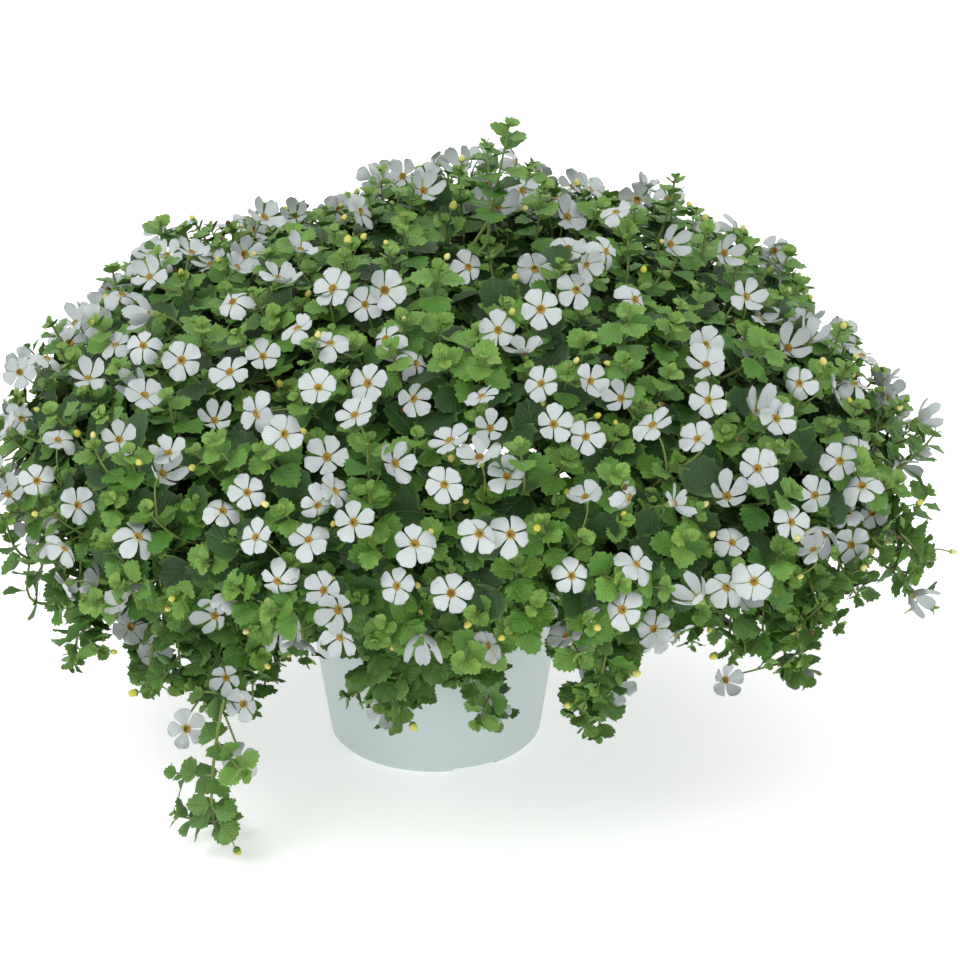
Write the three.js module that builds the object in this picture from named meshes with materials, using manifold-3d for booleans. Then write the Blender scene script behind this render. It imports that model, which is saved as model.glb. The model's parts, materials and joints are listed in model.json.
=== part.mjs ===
// A bacopa in a plain plastic pot: a wide, low mound of toothed leaves and white five-petalled
// flowers on thin stems that spring from the soil, with a few stems trailing over the rim.
// Millimetres, +Z up. The origin is the middle of the pot's underside, and the front faces -Y.

import * as THREE from "three";
import { mergeVertices } from "three/addons/utils/BufferGeometryUtils.js";
import Module from "manifold-3d";

const wasm = await Module();
wasm.setup();

// The pot
const POT_SIDES = 24;
const POT_HEIGHT = 100;
const POT_BASE_RADIUS = 51;
const POT_WALL_SLOPE = 0.15;
const POT_WALL = 1.8;
const POT_FLOOR_TOP = 6;
const FOOT_HEIGHT = 3;
const FOOT_INNER_RADIUS = 44;
const FOOT_OUTER_RADIUS = 48.5;
const PAD_RADIUS = 17;
const LIP_HEIGHT = 6;
const LIP_WIDTH = 2.6;
const NOTCH_COUNT = 4;
const NOTCH_WIDTH = 23;
const NOTCH_AZIMUTH = 23;
const DRAIN_RADIUS = 5;
const DRAIN_CIRCLE = 30;

// The soil and the holes that the stems stand in
const SOIL_TOP = 86;
const SOIL_GAP = 0.35;
const HOLE_RADIUS = 4.7;
const HOLE_DEPTH = 6;
const HOLE_SHIFT = 1.2;
const STEM_SUNK = 4;
const ROOT_Z = SOIL_TOP - STEM_SUNK;

// The mound of foliage, an egg-like form with a deeper upper half
const MOUND_CENTRE = new THREE.Vector3(8, 0, 156);
const MOUND_HALF_X = 214;
const MOUND_HALF_Y = 198;
const MOUND_RISE = 115;
const MOUND_DROP = 60;
const BUMP_HEIGHT = 5;

// Rings of stems on the mound, top to bottom: latitude, number of stems, how far from the pot's
// middle they rise from the soil, and the depth of their cores as a share of the full depth
const RINGS = [
  { latitude: 80, stems: 2, rootRadius: 6, depth: 1 },
  { latitude: 60, stems: 4, rootRadius: 15, depth: 1 },
  { latitude: 40, stems: 6, rootRadius: 24, depth: 0.9 },
  { latitude: 14, stems: 8, rootRadius: 32, depth: 0.7 },
  { latitude: -26, stems: 8, rootRadius: 40, depth: 0.6 },
];
const RING_PHASE = 17;
const SITE_JITTER = 3.5;
const RING_ZIGZAG = 11;

// Heights above the mound's surface: blades keep to these layers, so they pass each other
const FLOWER_HEIGHT = 8;
const HUB_HEIGHT = -8;
const LEAF_HIGHEST = -1.5;
const LEAF_LOWEST = -15;
const CORE_TOP = -19;
const CORE_EDGE = -29;
const CORE_BOTTOM = -42;
const ROOT_HEIGHT = -34;
const LEAN_STEP = 0.2;
const ROOT_BITE = 0.5;
const CELL_GAP = 0.6;
const CORE_GAP = 4;
const CORE_RADIUS = 47;
const CORE_LOBES = 3;
const CORE_LOBE_STEP = 0.95;
// Each lobe of the core's edge, as shares of the step between lobes and of the radius
const CORE_LOBE = [
  [-0.5, 0.5],
  [-0.25, 0.9],
  [0.15, 1],
];
const CROWN_SHIFT = 8;
const STEM_PLACE = 0.4;

// Stems, leaves and flowers
const STEM_RADIUS = 1.7;
const STEM_STEPS = 4;
const TRAIL_STEM_RADIUS = 1.5;
const LEAF_LENGTH = 35;
const LEAF_WIDTH = 30;
const LEAF_HALF_THICKNESS = 1.1;
const TRAIL_LEAF_LENGTH = 24;
const TRAIL_LEAF_WIDTH = 21;
const HUB_RADIUS = 2.2;
const NECK_RADIUS = 1.8;
const NECK_DEPTH = 2.2;
const PAIR_DEPTH = 2.5;
const LEAF_CENTRE = 0.42;
const SPRIG_STEP = 13;
const SPRIG_LEAF = 0.72;
const STALK_SPREAD = 0.6;
const SMALLEST_LEAF = 0.5;
const TURN_STEPS = 9;
const LEAF_TEETH = [
  [0.36, 0.38],
  [0.5, 0.31],
  [0.68, 0.36],
];
const FLOWER_RADIUS = 9.6;
const PETAL_NOTCH = 0.46;
const PETAL_SIZES = [1, 0.98, 0.9, 0.94, 0.97];
const PETAL_HALF_ANGLE = 19;
const THROAT_DEPTH = 1.8;
const CALYX_DEPTH = 3;
const CALYX_RADIUS = 2.1;
const FLOWER_SPACING = 21;
const SPACING_ROUNDS = 60;
const FLOWERS_ELSEWHERE = 24;
const SPACING_ELSEWHERE = 36;
const HIDDEN_BELOW = 0.08;
// What turns a flower away from the mound's normal: light from above, the viewer's side and chance
const TURN_UP = 0.25;
const TURN_TO_VIEWER = 0.7;
const TURN_BY_CHANCE = 0.4;

// The viewpoint from which the front flowers are placed, and the size of its picture
const EYE = new THREE.Vector3(21.8, -1345, 675.3);
const EYE_TILT = 22;
const EYE_FOCAL = 3030;
const PICTURE_MIDDLE = 480;

// Flower heads on the front of the mound, by column and row in that picture
const FRONT_FLOWERS = [
  [301, 248], [245, 254], [232, 301], [149, 276], [148, 313], [165, 228], [265, 216], [468, 267],
  [332, 288], [385, 290], [365, 304], [379, 180], [424, 190], [488, 185], [523, 190], [568, 216],
  [616, 211], [607, 251], [576, 290], [541, 309], [636, 299], [671, 244], [705, 221], [725, 253],
  [747, 296], [775, 265], [182, 360], [229, 371], [263, 356], [297, 327], [58, 439], [119, 439],
  [163, 483], [143, 345], [145, 394], [47, 357], [78, 505], [139, 536], [285, 434], [247, 492],
  [223, 518], [255, 537], [318, 506], [277, 582], [64, 549], [63, 586], [37, 481], [318, 387],
  [255, 414], [308, 539], [330, 342], [385, 338], [417, 363], [354, 414], [498, 330], [524, 349],
  [481, 395], [449, 439], [490, 428], [507, 476], [541, 383], [591, 381], [621, 398], [554, 424],
  [586, 437], [336, 490], [354, 522], [415, 543], [479, 534], [451, 593], [338, 610], [572, 576],
  [630, 498], [585, 496], [706, 340], [799, 383], [697, 438], [708, 400], [758, 411], [880, 425],
  [758, 468], [840, 461], [875, 485], [792, 522], [813, 549], [697, 597], [726, 575], [652, 424],
  [675, 365], [286, 620], [131, 615], [180, 600], [658, 560],
];

// Taller shoots that stand out of the mound, from the rosettes nearest to these places: column and
// row or azimuth and latitude, height, leaf pairs
const FRONT_SPRIGS = [
  { column: 508, row: 205, height: 38, pairs: 2 },
  { column: 782, row: 285, height: 26, pairs: 1 },
];
const BACK_SPRIGS = [
  { azimuth: 62, latitude: 50, height: 28, pairs: 1 },
];

// Trailing stems: each one rises from the soil, crosses the rim at its azimuth and takes its way to
// the tip. Leaf pairs stand on its last steps, and flowers in the axils of some of them, counted
// from the tip.
const TRAIL_ROOT_RADIUS = 50;
const TRAIL_RIM_RADIUS = 66;
const TRAIL_RIM_Z = 110;
const TRAILS = [
  {
    azimuth: -124,
    way: [[-70, -112, 114], [-88, -148, 96], [-97, -147, 50], [-99, -126, 14], [-99, -104, 4]],
    pairs: 4,
    flowers: [1, 2, 3],
  },
  { azimuth: -103, way: [[-22, -84, 101], [-24, -88, 72], [-18, -84, 42]], pairs: 2, flowers: [1] },
  { azimuth: -75, way: [[26, -86, 100], [30, -88, 70], [29, -84, 44]], pairs: 2, flowers: [1] },
  { azimuth: -54, way: [[64, -92, 110], [76, -112, 88], [76, -108, 50]], pairs: 2, flowers: [1] },
  { azimuth: -26, way: [[120, -62, 113], [160, -82, 98], [172, -86, 66]], pairs: 2, flowers: [1] },
  { azimuth: 13, way: [[140, -4, 114], [198, -30, 110], [234, -50, 88]], pairs: 3, flowers: [1] },
  { azimuth: 195, way: [[-120, -40, 114], [-158, -62, 100], [-168, -70, 66]], pairs: 2, flowers: [1] },
  { azimuth: 217, way: [[-94, -76, 114], [-122, -98, 100], [-130, -102, 72]], pairs: 2, flowers: [1] },
  { azimuth: 153, way: [[-118, 62, 113], [-156, 84, 96], [-164, 88, 58]], pairs: 2, flowers: [1] },
  {
    azimuth: 116,
    way: [[-54, 118, 112], [-66, 150, 84], [-70, 152, 30], [-72, 132, 5]],
    pairs: 3,
    flowers: [1, 2],
  },
  { azimuth: 52, way: [[84, 104, 113], [108, 134, 98], [112, 140, 60]], pairs: 2, flowers: [1] },
];
const TRAIL_STEPS = 8;
const TRAIL_FLOWER_REACH = 14;
const SURFACE_CLEARANCE = 0.8;

// Colours and finish
const POT_FINISH = new THREE.MeshStandardMaterial({ color: 0xc3cdd0, roughness: 0.5, metalness: 0 });
const SOIL_FINISH = new THREE.MeshStandardMaterial({ color: 0x3a2a1e, roughness: 0.95, metalness: 0 });
const LEAF_FINISH = new THREE.MeshStandardMaterial({ color: 0x4f8434, roughness: 0.6, metalness: 0 });
const TRAIL_FINISH = new THREE.MeshStandardMaterial({ color: 0x5c9440, roughness: 0.6, metalness: 0 });

const UP = new THREE.Vector3(0, 0, 1);

// Repeatable random numbers: one seed always gives one plant.
function seeded(seed) {
  let state = seed;
  return () => {
    state = (Math.imul(state, 1664525) + 1013904223) >>> 0;
    return state / 4294967296;
  };
}

function radians(degrees) {
  return (degrees * Math.PI) / 180;
}

// Solids

// A closed solid from a three.js geometry whose faces point outwards.
function solidOf(geometry) {
  const bare = geometry.clone();
  bare.deleteAttribute("normal");
  bare.deleteAttribute("uv");
  const merged = mergeVertices(bare, 1e-4);
  return solidFrom(merged.attributes.position.array, merged.index.array);
}

function solidFrom(positions, indices) {
  const mesh = new wasm.Mesh({
    numProp: 3,
    vertProperties: new Float32Array(positions),
    triVerts: new Uint32Array(indices),
  });
  return new wasm.Manifold(mesh);
}

function joined(solids) {
  return solids.reduce((whole, solid) => whole.add(solid));
}

function meshOf(solid, name, finish) {
  const made = solid.getMesh();
  const positions = new Float32Array(made.numVert * 3);
  for (let i = 0; i < made.numVert; i++) {
    positions.set(made.vertProperties.subarray(i * made.numProp, i * made.numProp + 3), i * 3);
  }
  const geometry = new THREE.BufferGeometry();
  geometry.setAttribute("position", new THREE.BufferAttribute(positions, 3));
  geometry.setIndex(new THREE.BufferAttribute(made.triVerts, 1));
  geometry.computeVertexNormals();
  const mesh = new THREE.Mesh(geometry, finish);
  mesh.name = name;
  return mesh;
}

// Points and triangles gathered one at a time into a closed solid.
class Faces {
  positions = [];
  indices = [];

  point(position) {
    this.positions.push(position.x, position.y, position.z);
    return this.positions.length / 3 - 1;
  }

  triangle(a, b, c) {
    this.indices.push(a, b, c);
  }

  solid() {
    return solidFrom(this.positions, this.indices);
  }
}

// A thin three-sided stem along a curve.
function stemAlong(curve, radius, steps) {
  const section = new THREE.Shape();
  for (let i = 0; i < 3; i++) {
    const angle = (i * 2 * Math.PI) / 3;
    const x = radius * Math.cos(angle);
    const y = radius * Math.sin(angle);
    if (i === 0) section.moveTo(x, y);
    else section.lineTo(x, y);
  }
  return solidOf(new THREE.ExtrudeGeometry(section, { extrudePath: curve, steps }));
}

// The mound

function moundAxes(upper) {
  return new THREE.Vector3(MOUND_HALF_X, MOUND_HALF_Y, upper ? MOUND_RISE : MOUND_DROP);
}

// The unit direction of a point from the mound's middle, in the mound's own proportions.
function directionOf(point) {
  const offset = point.clone().sub(MOUND_CENTRE);
  return offset.divide(moundAxes(offset.z > 0)).normalize();
}

function directionAt(azimuth, latitude) {
  const across = Math.cos(radians(latitude));
  return new THREE.Vector3(
    across * Math.cos(radians(azimuth)),
    across * Math.sin(radians(azimuth)),
    Math.sin(radians(latitude)),
  );
}

function moundNormal(direction) {
  return direction.clone().divide(moundAxes(direction.z > 0)).normalize();
}

// Low swells and hollows, so that the mound isn't smooth.
function bump(direction) {
  return BUMP_HEIGHT * Math.sin(9 * direction.x + 1.1) * Math.sin(8 * direction.y + 0.6);
}

function onMound(direction, height) {
  const surface = direction.clone().multiply(moundAxes(direction.z > 0)).add(MOUND_CENTRE);
  return surface.addScaledVector(moundNormal(direction), height + bump(direction));
}

// Where the line of sight through a picture point meets the mound's surface.
function directionSeenAt(column, row) {
  const ahead = new THREE.Vector3(0, Math.cos(radians(EYE_TILT)), -Math.sin(radians(EYE_TILT)));
  const right = new THREE.Vector3(1, 0, 0);
  const up = right.clone().cross(ahead);
  const sight = ahead.multiplyScalar(EYE_FOCAL)
    .addScaledVector(right, column - PICTURE_MIDDLE)
    .addScaledVector(up, PICTURE_MIDDLE - row);
  let direction = UP;
  for (const upper of [false, true]) {
    const axes = moundAxes(upper);
    const from = EYE.clone().sub(MOUND_CENTRE).divide(axes);
    const step = sight.clone().divide(axes);
    const a = step.dot(step);
    const b = from.dot(step);
    const c = from.dot(from) - 1;
    const t = (-b - Math.sqrt(Math.max(b * b - a * c, 0))) / a;
    const hit = from.addScaledVector(step, t).normalize();
    if (hit.z > 0 === upper) direction = hit;
  }
  return direction;
}

// A place on the mound with its own level axes: east along the ring, north towards the top.
function siteAt(direction) {
  const normal = moundNormal(direction);
  const east = UP.clone().cross(normal).normalize();
  const north = normal.clone().cross(east);
  return { direction, normal, east, north, hub: onMound(direction, HUB_HEIGHT) };
}

// The point that lies so far east and north of a site, at a height above the mound.
function near(site, east, north, height) {
  const point = onMound(site.direction, 0)
    .addScaledVector(site.east, east)
    .addScaledVector(site.north, north);
  return onMound(directionOf(point), height);
}

// Leaves and flowers

// One outline point after another, from the leaf's right base round its tip to its left base.
function leafOutline() {
  const right = LEAF_TEETH.map(([along, across]) => [along, -across]);
  const left = LEAF_TEETH.map(([along, across]) => [along, across]).reverse();
  return [...right, [1, 0], ...left];
}

// How high a point of a leaf lies above its hub: the blade rises, curls and rolls a little.
function leafLift(leaf, along, across) {
  return leaf.rise * along - leaf.curl * along * along + leaf.roll * across;
}

// A closed rosette of leaves round one hub. Each leaf is a thin lens with a toothed edge, and
// the hub's foot runs down into what carries it, from a neck if it stands high above that.
// put(x, y, height) places a point.
function rosette(put, leaves, footHeight, hasNeck) {
  const faces = new Faces();
  const top = faces.point(put(0, 0, LEAF_HALF_THICKNESS));
  const foot = faces.point(put(0, 0, footHeight));
  const ringBetweenLeaves = (radius, height) => leaves.map((leaf, i) => {
    const next = leaves[(i + 1) % leaves.length].angle + (i + 1 === leaves.length ? 2 * Math.PI : 0);
    const angle = (leaf.angle + next) / 2;
    return faces.point(put(radius * Math.cos(angle), radius * Math.sin(angle), height));
  });
  const corners = ringBetweenLeaves(HUB_RADIUS, 0);
  const neck = hasNeck ? ringBetweenLeaves(NECK_RADIUS, -NECK_DEPTH) : leaves.map(() => foot);
  leaves.forEach((leaf, i) => {
    const place = (along, across, lift) => {
      const forward = along * leaf.length;
      const sideways = across * leaf.width;
      return faces.point(put(
        forward * Math.cos(leaf.angle) - sideways * Math.sin(leaf.angle),
        forward * Math.sin(leaf.angle) + sideways * Math.cos(leaf.angle),
        leafLift(leaf, along, across) + lift,
      ));
    };
    const before = (i + leaves.length - 1) % leaves.length;
    const first = corners[before];
    const last = corners[i];
    const rim = [first, ...leafOutline().map(([along, across]) => place(along, across, 0)), last];
    const upper = place(LEAF_CENTRE, 0, LEAF_HALF_THICKNESS);
    const lower = place(LEAF_CENTRE, 0, -LEAF_HALF_THICKNESS);
    for (let j = 0; j + 1 < rim.length; j++) {
      faces.triangle(upper, rim[j], rim[j + 1]);
      faces.triangle(lower, rim[j + 1], rim[j]);
    }
    faces.triangle(upper, last, top);
    faces.triangle(upper, top, first);
    faces.triangle(lower, neck[i], last);
    faces.triangle(lower, first, neck[before]);
    if (!hasNeck) return;
    faces.triangle(lower, neck[before], neck[i]);
    faces.triangle(foot, neck[i], neck[before]);
  });
  return faces.solid();
}

// A closed five-petalled flower: a shallow throat in front, and a slender calyx behind that tapers
// down to its root.
function flower(centre, facing, root, turn) {
  const faces = new Faces();
  const across = new THREE.Vector3(0, 0, 1).cross(facing);
  if (across.length() < 0.1) across.set(1, 0, 0);
  across.normalize();
  const upward = facing.clone().cross(across);
  const place = (radius, angle, height) => faces.point(
    centre.clone()
      .addScaledVector(across, radius * Math.cos(angle))
      .addScaledVector(upward, radius * Math.sin(angle))
      .addScaledVector(facing, height),
  );
  const throat = place(0, 0, -THROAT_DEPTH);
  const rim = [];
  PETAL_SIZES.forEach((size, petal) => {
    const middle = turn + radians(72 * petal);
    rim.push(place(FLOWER_RADIUS * PETAL_NOTCH, middle - radians(36), -0.5));
    rim.push(place(FLOWER_RADIUS * size, middle - radians(PETAL_HALF_ANGLE), 0.4));
    rim.push(place(FLOWER_RADIUS * size, middle + radians(PETAL_HALF_ANGLE), 0.4));
  });
  const back = [0, 1, 2].map((i) => place(CALYX_RADIUS, turn + radians(24 + 120 * i), -CALYX_DEPTH));
  const foot = faces.point(root);
  rim.forEach((point, j) => {
    const next = rim[(j + 1) % rim.length];
    faces.triangle(throat, point, next);
    faces.triangle(back[Math.floor(j / 5)], next, point);
  });
  back.forEach((point, i) => {
    const next = back[(i + 1) % 3];
    faces.triangle(rim[(5 * i + 5) % rim.length], point, next);
    faces.triangle(next, point, foot);
  });
  return faces.solid();
}

// The stems' places

// Two leaf rosettes, side by side on the ring, belong to each stem.
function placeRosettes() {
  const draw = seeded(11);
  const rosettes = [];
  RINGS.forEach((ring, ringIndex) => {
    for (let i = 0; i < 2 * ring.stems; i++) {
      const azimuth = (360 * (i + 0.5)) / (2 * ring.stems) + RING_PHASE * ringIndex;
      const even = siteAt(directionAt(azimuth, ring.latitude));
      const east = SITE_JITTER * (2 * draw() - 1);
      const north = SITE_JITTER * (2 * draw() - 1) + (i % 2 ? RING_ZIGZAG : -RING_ZIGZAG);
      const moved = directionOf(near(even, east, north, 0));
      rosettes.push({ ...siteAt(moved), ring, azimuth, number: rosettes.length, chance: draw() });
    }
  });
  return rosettes;
}

// How far inside a rosette's own share of the mound a point lies. The share is what is nearer
// to its hub than to any other, apart from a partner on the same stem.
function roomAround(point, own, rosettes, partner) {
  let room = Infinity;
  for (const other of rosettes) {
    if (other === own || other === partner) continue;
    const apart = other.hub.distanceTo(own.hub);
    const gap = (point.distanceToSquared(other.hub) - point.distanceToSquared(own.hub)) / (2 * apart);
    room = Math.min(room, gap);
  }
  return room;
}

// The angle and distance of a flower head from a rosette's hub, along the mound.
function headAround(own, head) {
  const offset = head.clone().sub(own.hub);
  const east = offset.dot(own.east);
  const north = offset.dot(own.north);
  return { angle: Math.atan2(north, east), reach: Math.hypot(east, north) };
}

// How far an angle lies from the nearest gap between a rosette's leaves.
function fromGap(angle, turn) {
  const quarters = (angle - turn) / (Math.PI / 2) - 0.5;
  return (quarters - Math.round(quarters)) * (Math.PI / 2);
}

// The turn of a rosette that leaves its flowers' stalks in the gaps between its leaves.
function clearTurn(own, heads) {
  let best = { turn: 0, blocked: Infinity };
  for (let step = 0; step < TURN_STEPS; step++) {
    const turn = (Math.PI / 2) * ((step + own.chance) / TURN_STEPS);
    const blocked = heads.reduce((sum, head) => sum + fromGap(headAround(own, head).angle, turn) ** 2, 0);
    if (blocked < best.blocked) best = { turn, blocked };
  }
  return best.turn;
}

// Where a flower's stalk passes a rosette's leaves, half way to its root in the gap.
function stalkBetween(own, head, turn) {
  const { angle, reach } = headAround(own, head);
  const gap = angle - fromGap(angle, turn);
  return {
    east: (reach * (Math.cos(angle) + STALK_SPREAD * Math.cos(gap))) / 2,
    north: (reach * (Math.sin(angle) + STALK_SPREAD * Math.sin(gap))) / 2,
  };
}

// The largest size at which a leaf at this angle stops short of a stalk or lies beside it.
function sizeClearOf(stalk, angle) {
  const forward = stalk.east * Math.cos(angle) + stalk.north * Math.sin(angle);
  const sideways = Math.abs(stalk.north * Math.cos(angle) - stalk.east * Math.sin(angle));
  const beside = (sideways - STEM_RADIUS) / (LEAF_TEETH[0][1] * LEAF_WIDTH);
  const before = (forward - STEM_RADIUS) / LEAF_LENGTH;
  return forward < 0 ? Infinity : Math.max(beside, before);
}

// Two opposite pairs of leaves, each leaf made shorter until it keeps to its rosette's share.
function mainRosette(own, turn, rosettes, heads, draw) {
  const stalks = heads.map((head) => stalkBetween(own, head, turn));
  const leaves = [0, 1, 2, 3].map((i) => {
    const leaf = {
      angle: turn + (i * Math.PI) / 2 + 0.15 * (draw() - 0.5),
      rise: i % 2 ? 5 - 6 * draw() : 2 - 8 * draw(),
      curl: 2 + 4 * draw(),
      roll: 8 * (draw() - 0.5),
    };
    const fullSize = 1.08 - 0.16 * draw();
    const fits = (size) => leafOutline().every(([along, across]) => {
      const forward = size * along * LEAF_LENGTH;
      const sideways = size * across * LEAF_WIDTH;
      const east = forward * Math.cos(leaf.angle) - sideways * Math.sin(leaf.angle);
      const north = forward * Math.sin(leaf.angle) + sideways * Math.cos(leaf.angle);
      const point = near(own, east, north, HUB_HEIGHT + leafLift(leaf, along, across));
      return roomAround(point, own, rosettes) > CELL_GAP;
    });
    let size = fullSize;
    while (!fits(size)) size *= 0.95;
    const clear = stalks.reduce((least, stalk) => Math.min(least, sizeClearOf(stalk, leaf.angle)), size);
    if (clear > SMALLEST_LEAF) size = clear;
    return { ...leaf, length: size * LEAF_LENGTH, width: size * LEAF_WIDTH };
  });
  const put = (x, y, lift) => {
    const height = THREE.MathUtils.clamp(HUB_HEIGHT + lift, LEAF_LOWEST, LEAF_HIGHEST);
    return near(own, x, y, lift < LEAF_LOWEST ? coreHeight(own, ROOT_HEIGHT) : height);
  };
  return rosette(put, leaves, ROOT_HEIGHT - HUB_HEIGHT, true);
}

// A height in a rosette's core, where the foliage is thinner towards the mound's edge.
function coreHeight(own, height) {
  return CORE_TOP + own.ring.depth * (height - CORE_TOP);
}

// The dark inner foliage under a stem's two rosettes: one low lens with a crown and a keel under
// each rosette and a waist between them, that keeps clear of the other stems' lenses.
function innerFoliage(pair, rosettes) {
  const faces = new Faces();
  const sides = pair.map((own, side) => {
    const partner = pair[1 - side];
    const apart = partner.hub.clone().sub(own.hub);
    const east = apart.dot(own.east);
    const north = apart.dot(own.north);
    const away = Math.atan2(north, east) + Math.PI;
    const crown = near(own, CROWN_SHIFT * Math.cos(away), CROWN_SHIFT * Math.sin(away), CORE_TOP);
    const room = (point) => roomAround(point, own, rosettes, partner);
    return { own, east, north, away, crown, room };
  });
  const middle = sides[0].crown.clone().lerp(sides[1].crown, 0.5);
  const halves = sides.map(({ own, east, north, away, crown, room }, side) => {
    const edge = (fromEast, fromNorth, angle) => {
      const out = fromEast + CORE_RADIUS * Math.cos(angle);
      const over = fromNorth + CORE_RADIUS * Math.sin(angle);
      return near(own, out, over, coreHeight(own, CORE_EDGE));
    };
    const rim = [];
    for (let lobe = 0; lobe < CORE_LOBES; lobe++) {
      for (const [aside, reach] of CORE_LOBE) {
        const angle = away + (lobe - (CORE_LOBES - 1) / 2 + aside) * CORE_LOBE_STEP;
        const tip = drawnIn(edge(0, 0, angle), crown, room);
        rim.push(crown.clone().lerp(tip, reach));
      }
    }
    const roomForBoth = (point) => Math.min(room(point), sides[1 - side].room(point));
    const waist = drawnIn(edge(east / 2, north / 2, away + Math.PI / 2), middle, roomForBoth);
    const keel = drawnIn(near(own, 0, 0, coreHeight(own, CORE_BOTTOM)), crown, room);
    return {
      heart: crown.clone().lerp(keel, 0.5),
      top: faces.point(crown),
      bottom: faces.point(keel),
      waist: faces.point(waist),
      rim: rim.map((point) => faces.point(point)),
    };
  });
  halves.forEach((half, side) => {
    const other = halves[1 - side];
    const rim = [other.waist, ...half.rim, half.waist];
    for (let i = 0; i + 1 < rim.length; i++) {
      faces.triangle(half.top, rim[i], rim[i + 1]);
      faces.triangle(half.bottom, rim[i + 1], rim[i]);
    }
    faces.triangle(half.top, half.waist, other.top);
    faces.triangle(half.bottom, other.bottom, half.waist);
  });
  return { solid: faces.solid(), hearts: halves.map((half) => half.heart) };
}

// A point drawn in towards a crown until it has room round it.
function drawnIn(wished, crown, room) {
  const point = wished.clone();
  for (let share = 1; room(point) < CORE_GAP && share > 0.05; share -= 0.05) {
    point.lerpVectors(crown, wished, share);
  }
  return point;
}

// Flower heads over the whole mound: the front ones where they are seen, the others by chance
// where there is room.
function placeFlowers() {
  const draw = seeded(23);
  const directions = FRONT_FLOWERS.map(([column, row]) => directionSeenAt(column, row));
  spaceOut(directions);
  const heads = directions.map((direction) => onMound(direction, FLOWER_HEIGHT));
  const wanted = heads.length + FLOWERS_ELSEWHERE;
  while (heads.length < wanted) {
    const direction = directionAt(360 * draw(), Math.asin(1.45 * draw() - 0.5) * (180 / Math.PI));
    const head = onMound(direction, FLOWER_HEIGHT);
    const hidden = moundNormal(direction).dot(EYE.clone().sub(head).normalize()) < HIDDEN_BELOW;
    const free = heads.every((other) => other.distanceTo(head) > SPACING_ELSEWHERE);
    if (hidden && free) heads.push(head);
  }
  return heads;
}

// Moves heads that are too close to each other apart, along the mound.
function spaceOut(directions) {
  const moved = (direction, push) =>
    direction.clone().add(push.clone().divide(moundAxes(direction.z > 0))).normalize();
  for (let round = 0; round < SPACING_ROUNDS; round++) {
    for (let i = 0; i < directions.length; i++) {
      for (let j = i + 1; j < directions.length; j++) {
        const gap = onMound(directions[i], FLOWER_HEIGHT).sub(onMound(directions[j], FLOWER_HEIGHT));
        const apart = gap.length();
        if (apart >= FLOWER_SPACING) continue;
        const push = gap.multiplyScalar((0.5 * (FLOWER_SPACING - apart)) / apart);
        directions[i] = moved(directions[i], push);
        directions[j] = moved(directions[j], push.negate());
      }
    }
  }
}

function nearestRosette(point, rosettes) {
  return rosettes.reduce((best, other) =>
    other.hub.distanceTo(point) < best.hub.distanceTo(point) ? other : best);
}

// A flower turns from the mound's own normal towards the light and the viewer.
function facingOf(head, draw) {
  const normal = moundNormal(directionOf(head));
  const viewer = EYE.clone().sub(head).normalize();
  const facing = normal.clone().addScaledVector(UP, TURN_UP);
  if (normal.dot(viewer) > 0) facing.addScaledVector(viewer, TURN_TO_VIEWER);
  facing.x += TURN_BY_CHANCE * (draw() - 0.5);
  facing.y += TURN_BY_CHANCE * (draw() - 0.5);
  facing.z += TURN_BY_CHANCE * (draw() - 0.5);
  return facing.normalize();
}

// A flower whose stalk is drawn in towards the core's heart until it is well rooted in the core.
function moundFlower(head, own, turn, core, heart, draw) {
  const facing = facingOf(head, draw);
  const spin = 2 * Math.PI * draw();
  const { angle, reach } = headAround(own, head);
  const gap = angle - fromGap(angle, turn);
  const out = STALK_SPREAD * reach;
  const wished = near(own, out * Math.cos(gap), out * Math.sin(gap), coreHeight(own, ROOT_HEIGHT));
  let made;
  for (let lean = 0; lean < 1.01; lean += LEAN_STEP) {
    made = flower(head, facing, wished.clone().lerp(heart, lean), spin);
    if (made.intersect(core).volume() > ROOT_BITE) break;
  }
  return made;
}

// A stem that stands in its hole in the soil and arches out to the foliage it carries.
function moundStem(pair, end) {
  const azimuth = radians((pair[0].azimuth + pair[1].azimuth) / 2);
  const root = new THREE.Vector3(Math.cos(azimuth), Math.sin(azimuth), 0).multiplyScalar(pair[0].ring.rootRadius);
  root.z = ROOT_Z;
  const rise = end.z - root.z;
  const knee = root.clone().setZ(root.z + 0.5 * rise);
  const shoulder = root.clone().lerp(end, 0.5).setZ(root.z + 0.7 * rise);
  const curve = new THREE.CubicBezierCurve3(root, knee, shoulder, end);
  return { root, solid: stemAlong(curve, STEM_RADIUS, STEM_STEPS) };
}

// A shoot that stands on a rosette's hub, with small opposite leaves up to its tip.
function sprig(own, height, pairs) {
  const lean = own.normal.clone().lerp(UP, 0.5).normalize();
  const tip = own.hub.clone().addScaledVector(lean, height - HUB_HEIGHT);
  const pieces = [stemAlong(new THREE.LineCurve3(own.hub, tip), TRAIL_STEM_RADIUS, 1)];
  for (let i = 0; i < pairs; i++) {
    const below = SPRIG_STEP * (pairs - 1 - i);
    const size = SPRIG_LEAF + 0.01 * below;
    pieces.push(leafPair(tip.clone().addScaledVector(lean, -1 - below), lean, 0.6 + (i * Math.PI) / 2, size));
  }
  return pieces;
}

// Two directions across a stem, at right angles to it and to each other.
function sidesOf(along) {
  const side = Math.abs(along.z) > 0.9 ? new THREE.Vector3(1, 0, 0) : UP;
  const x = side.clone().cross(along).normalize();
  return { x, y: along.clone().cross(x) };
}

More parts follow.
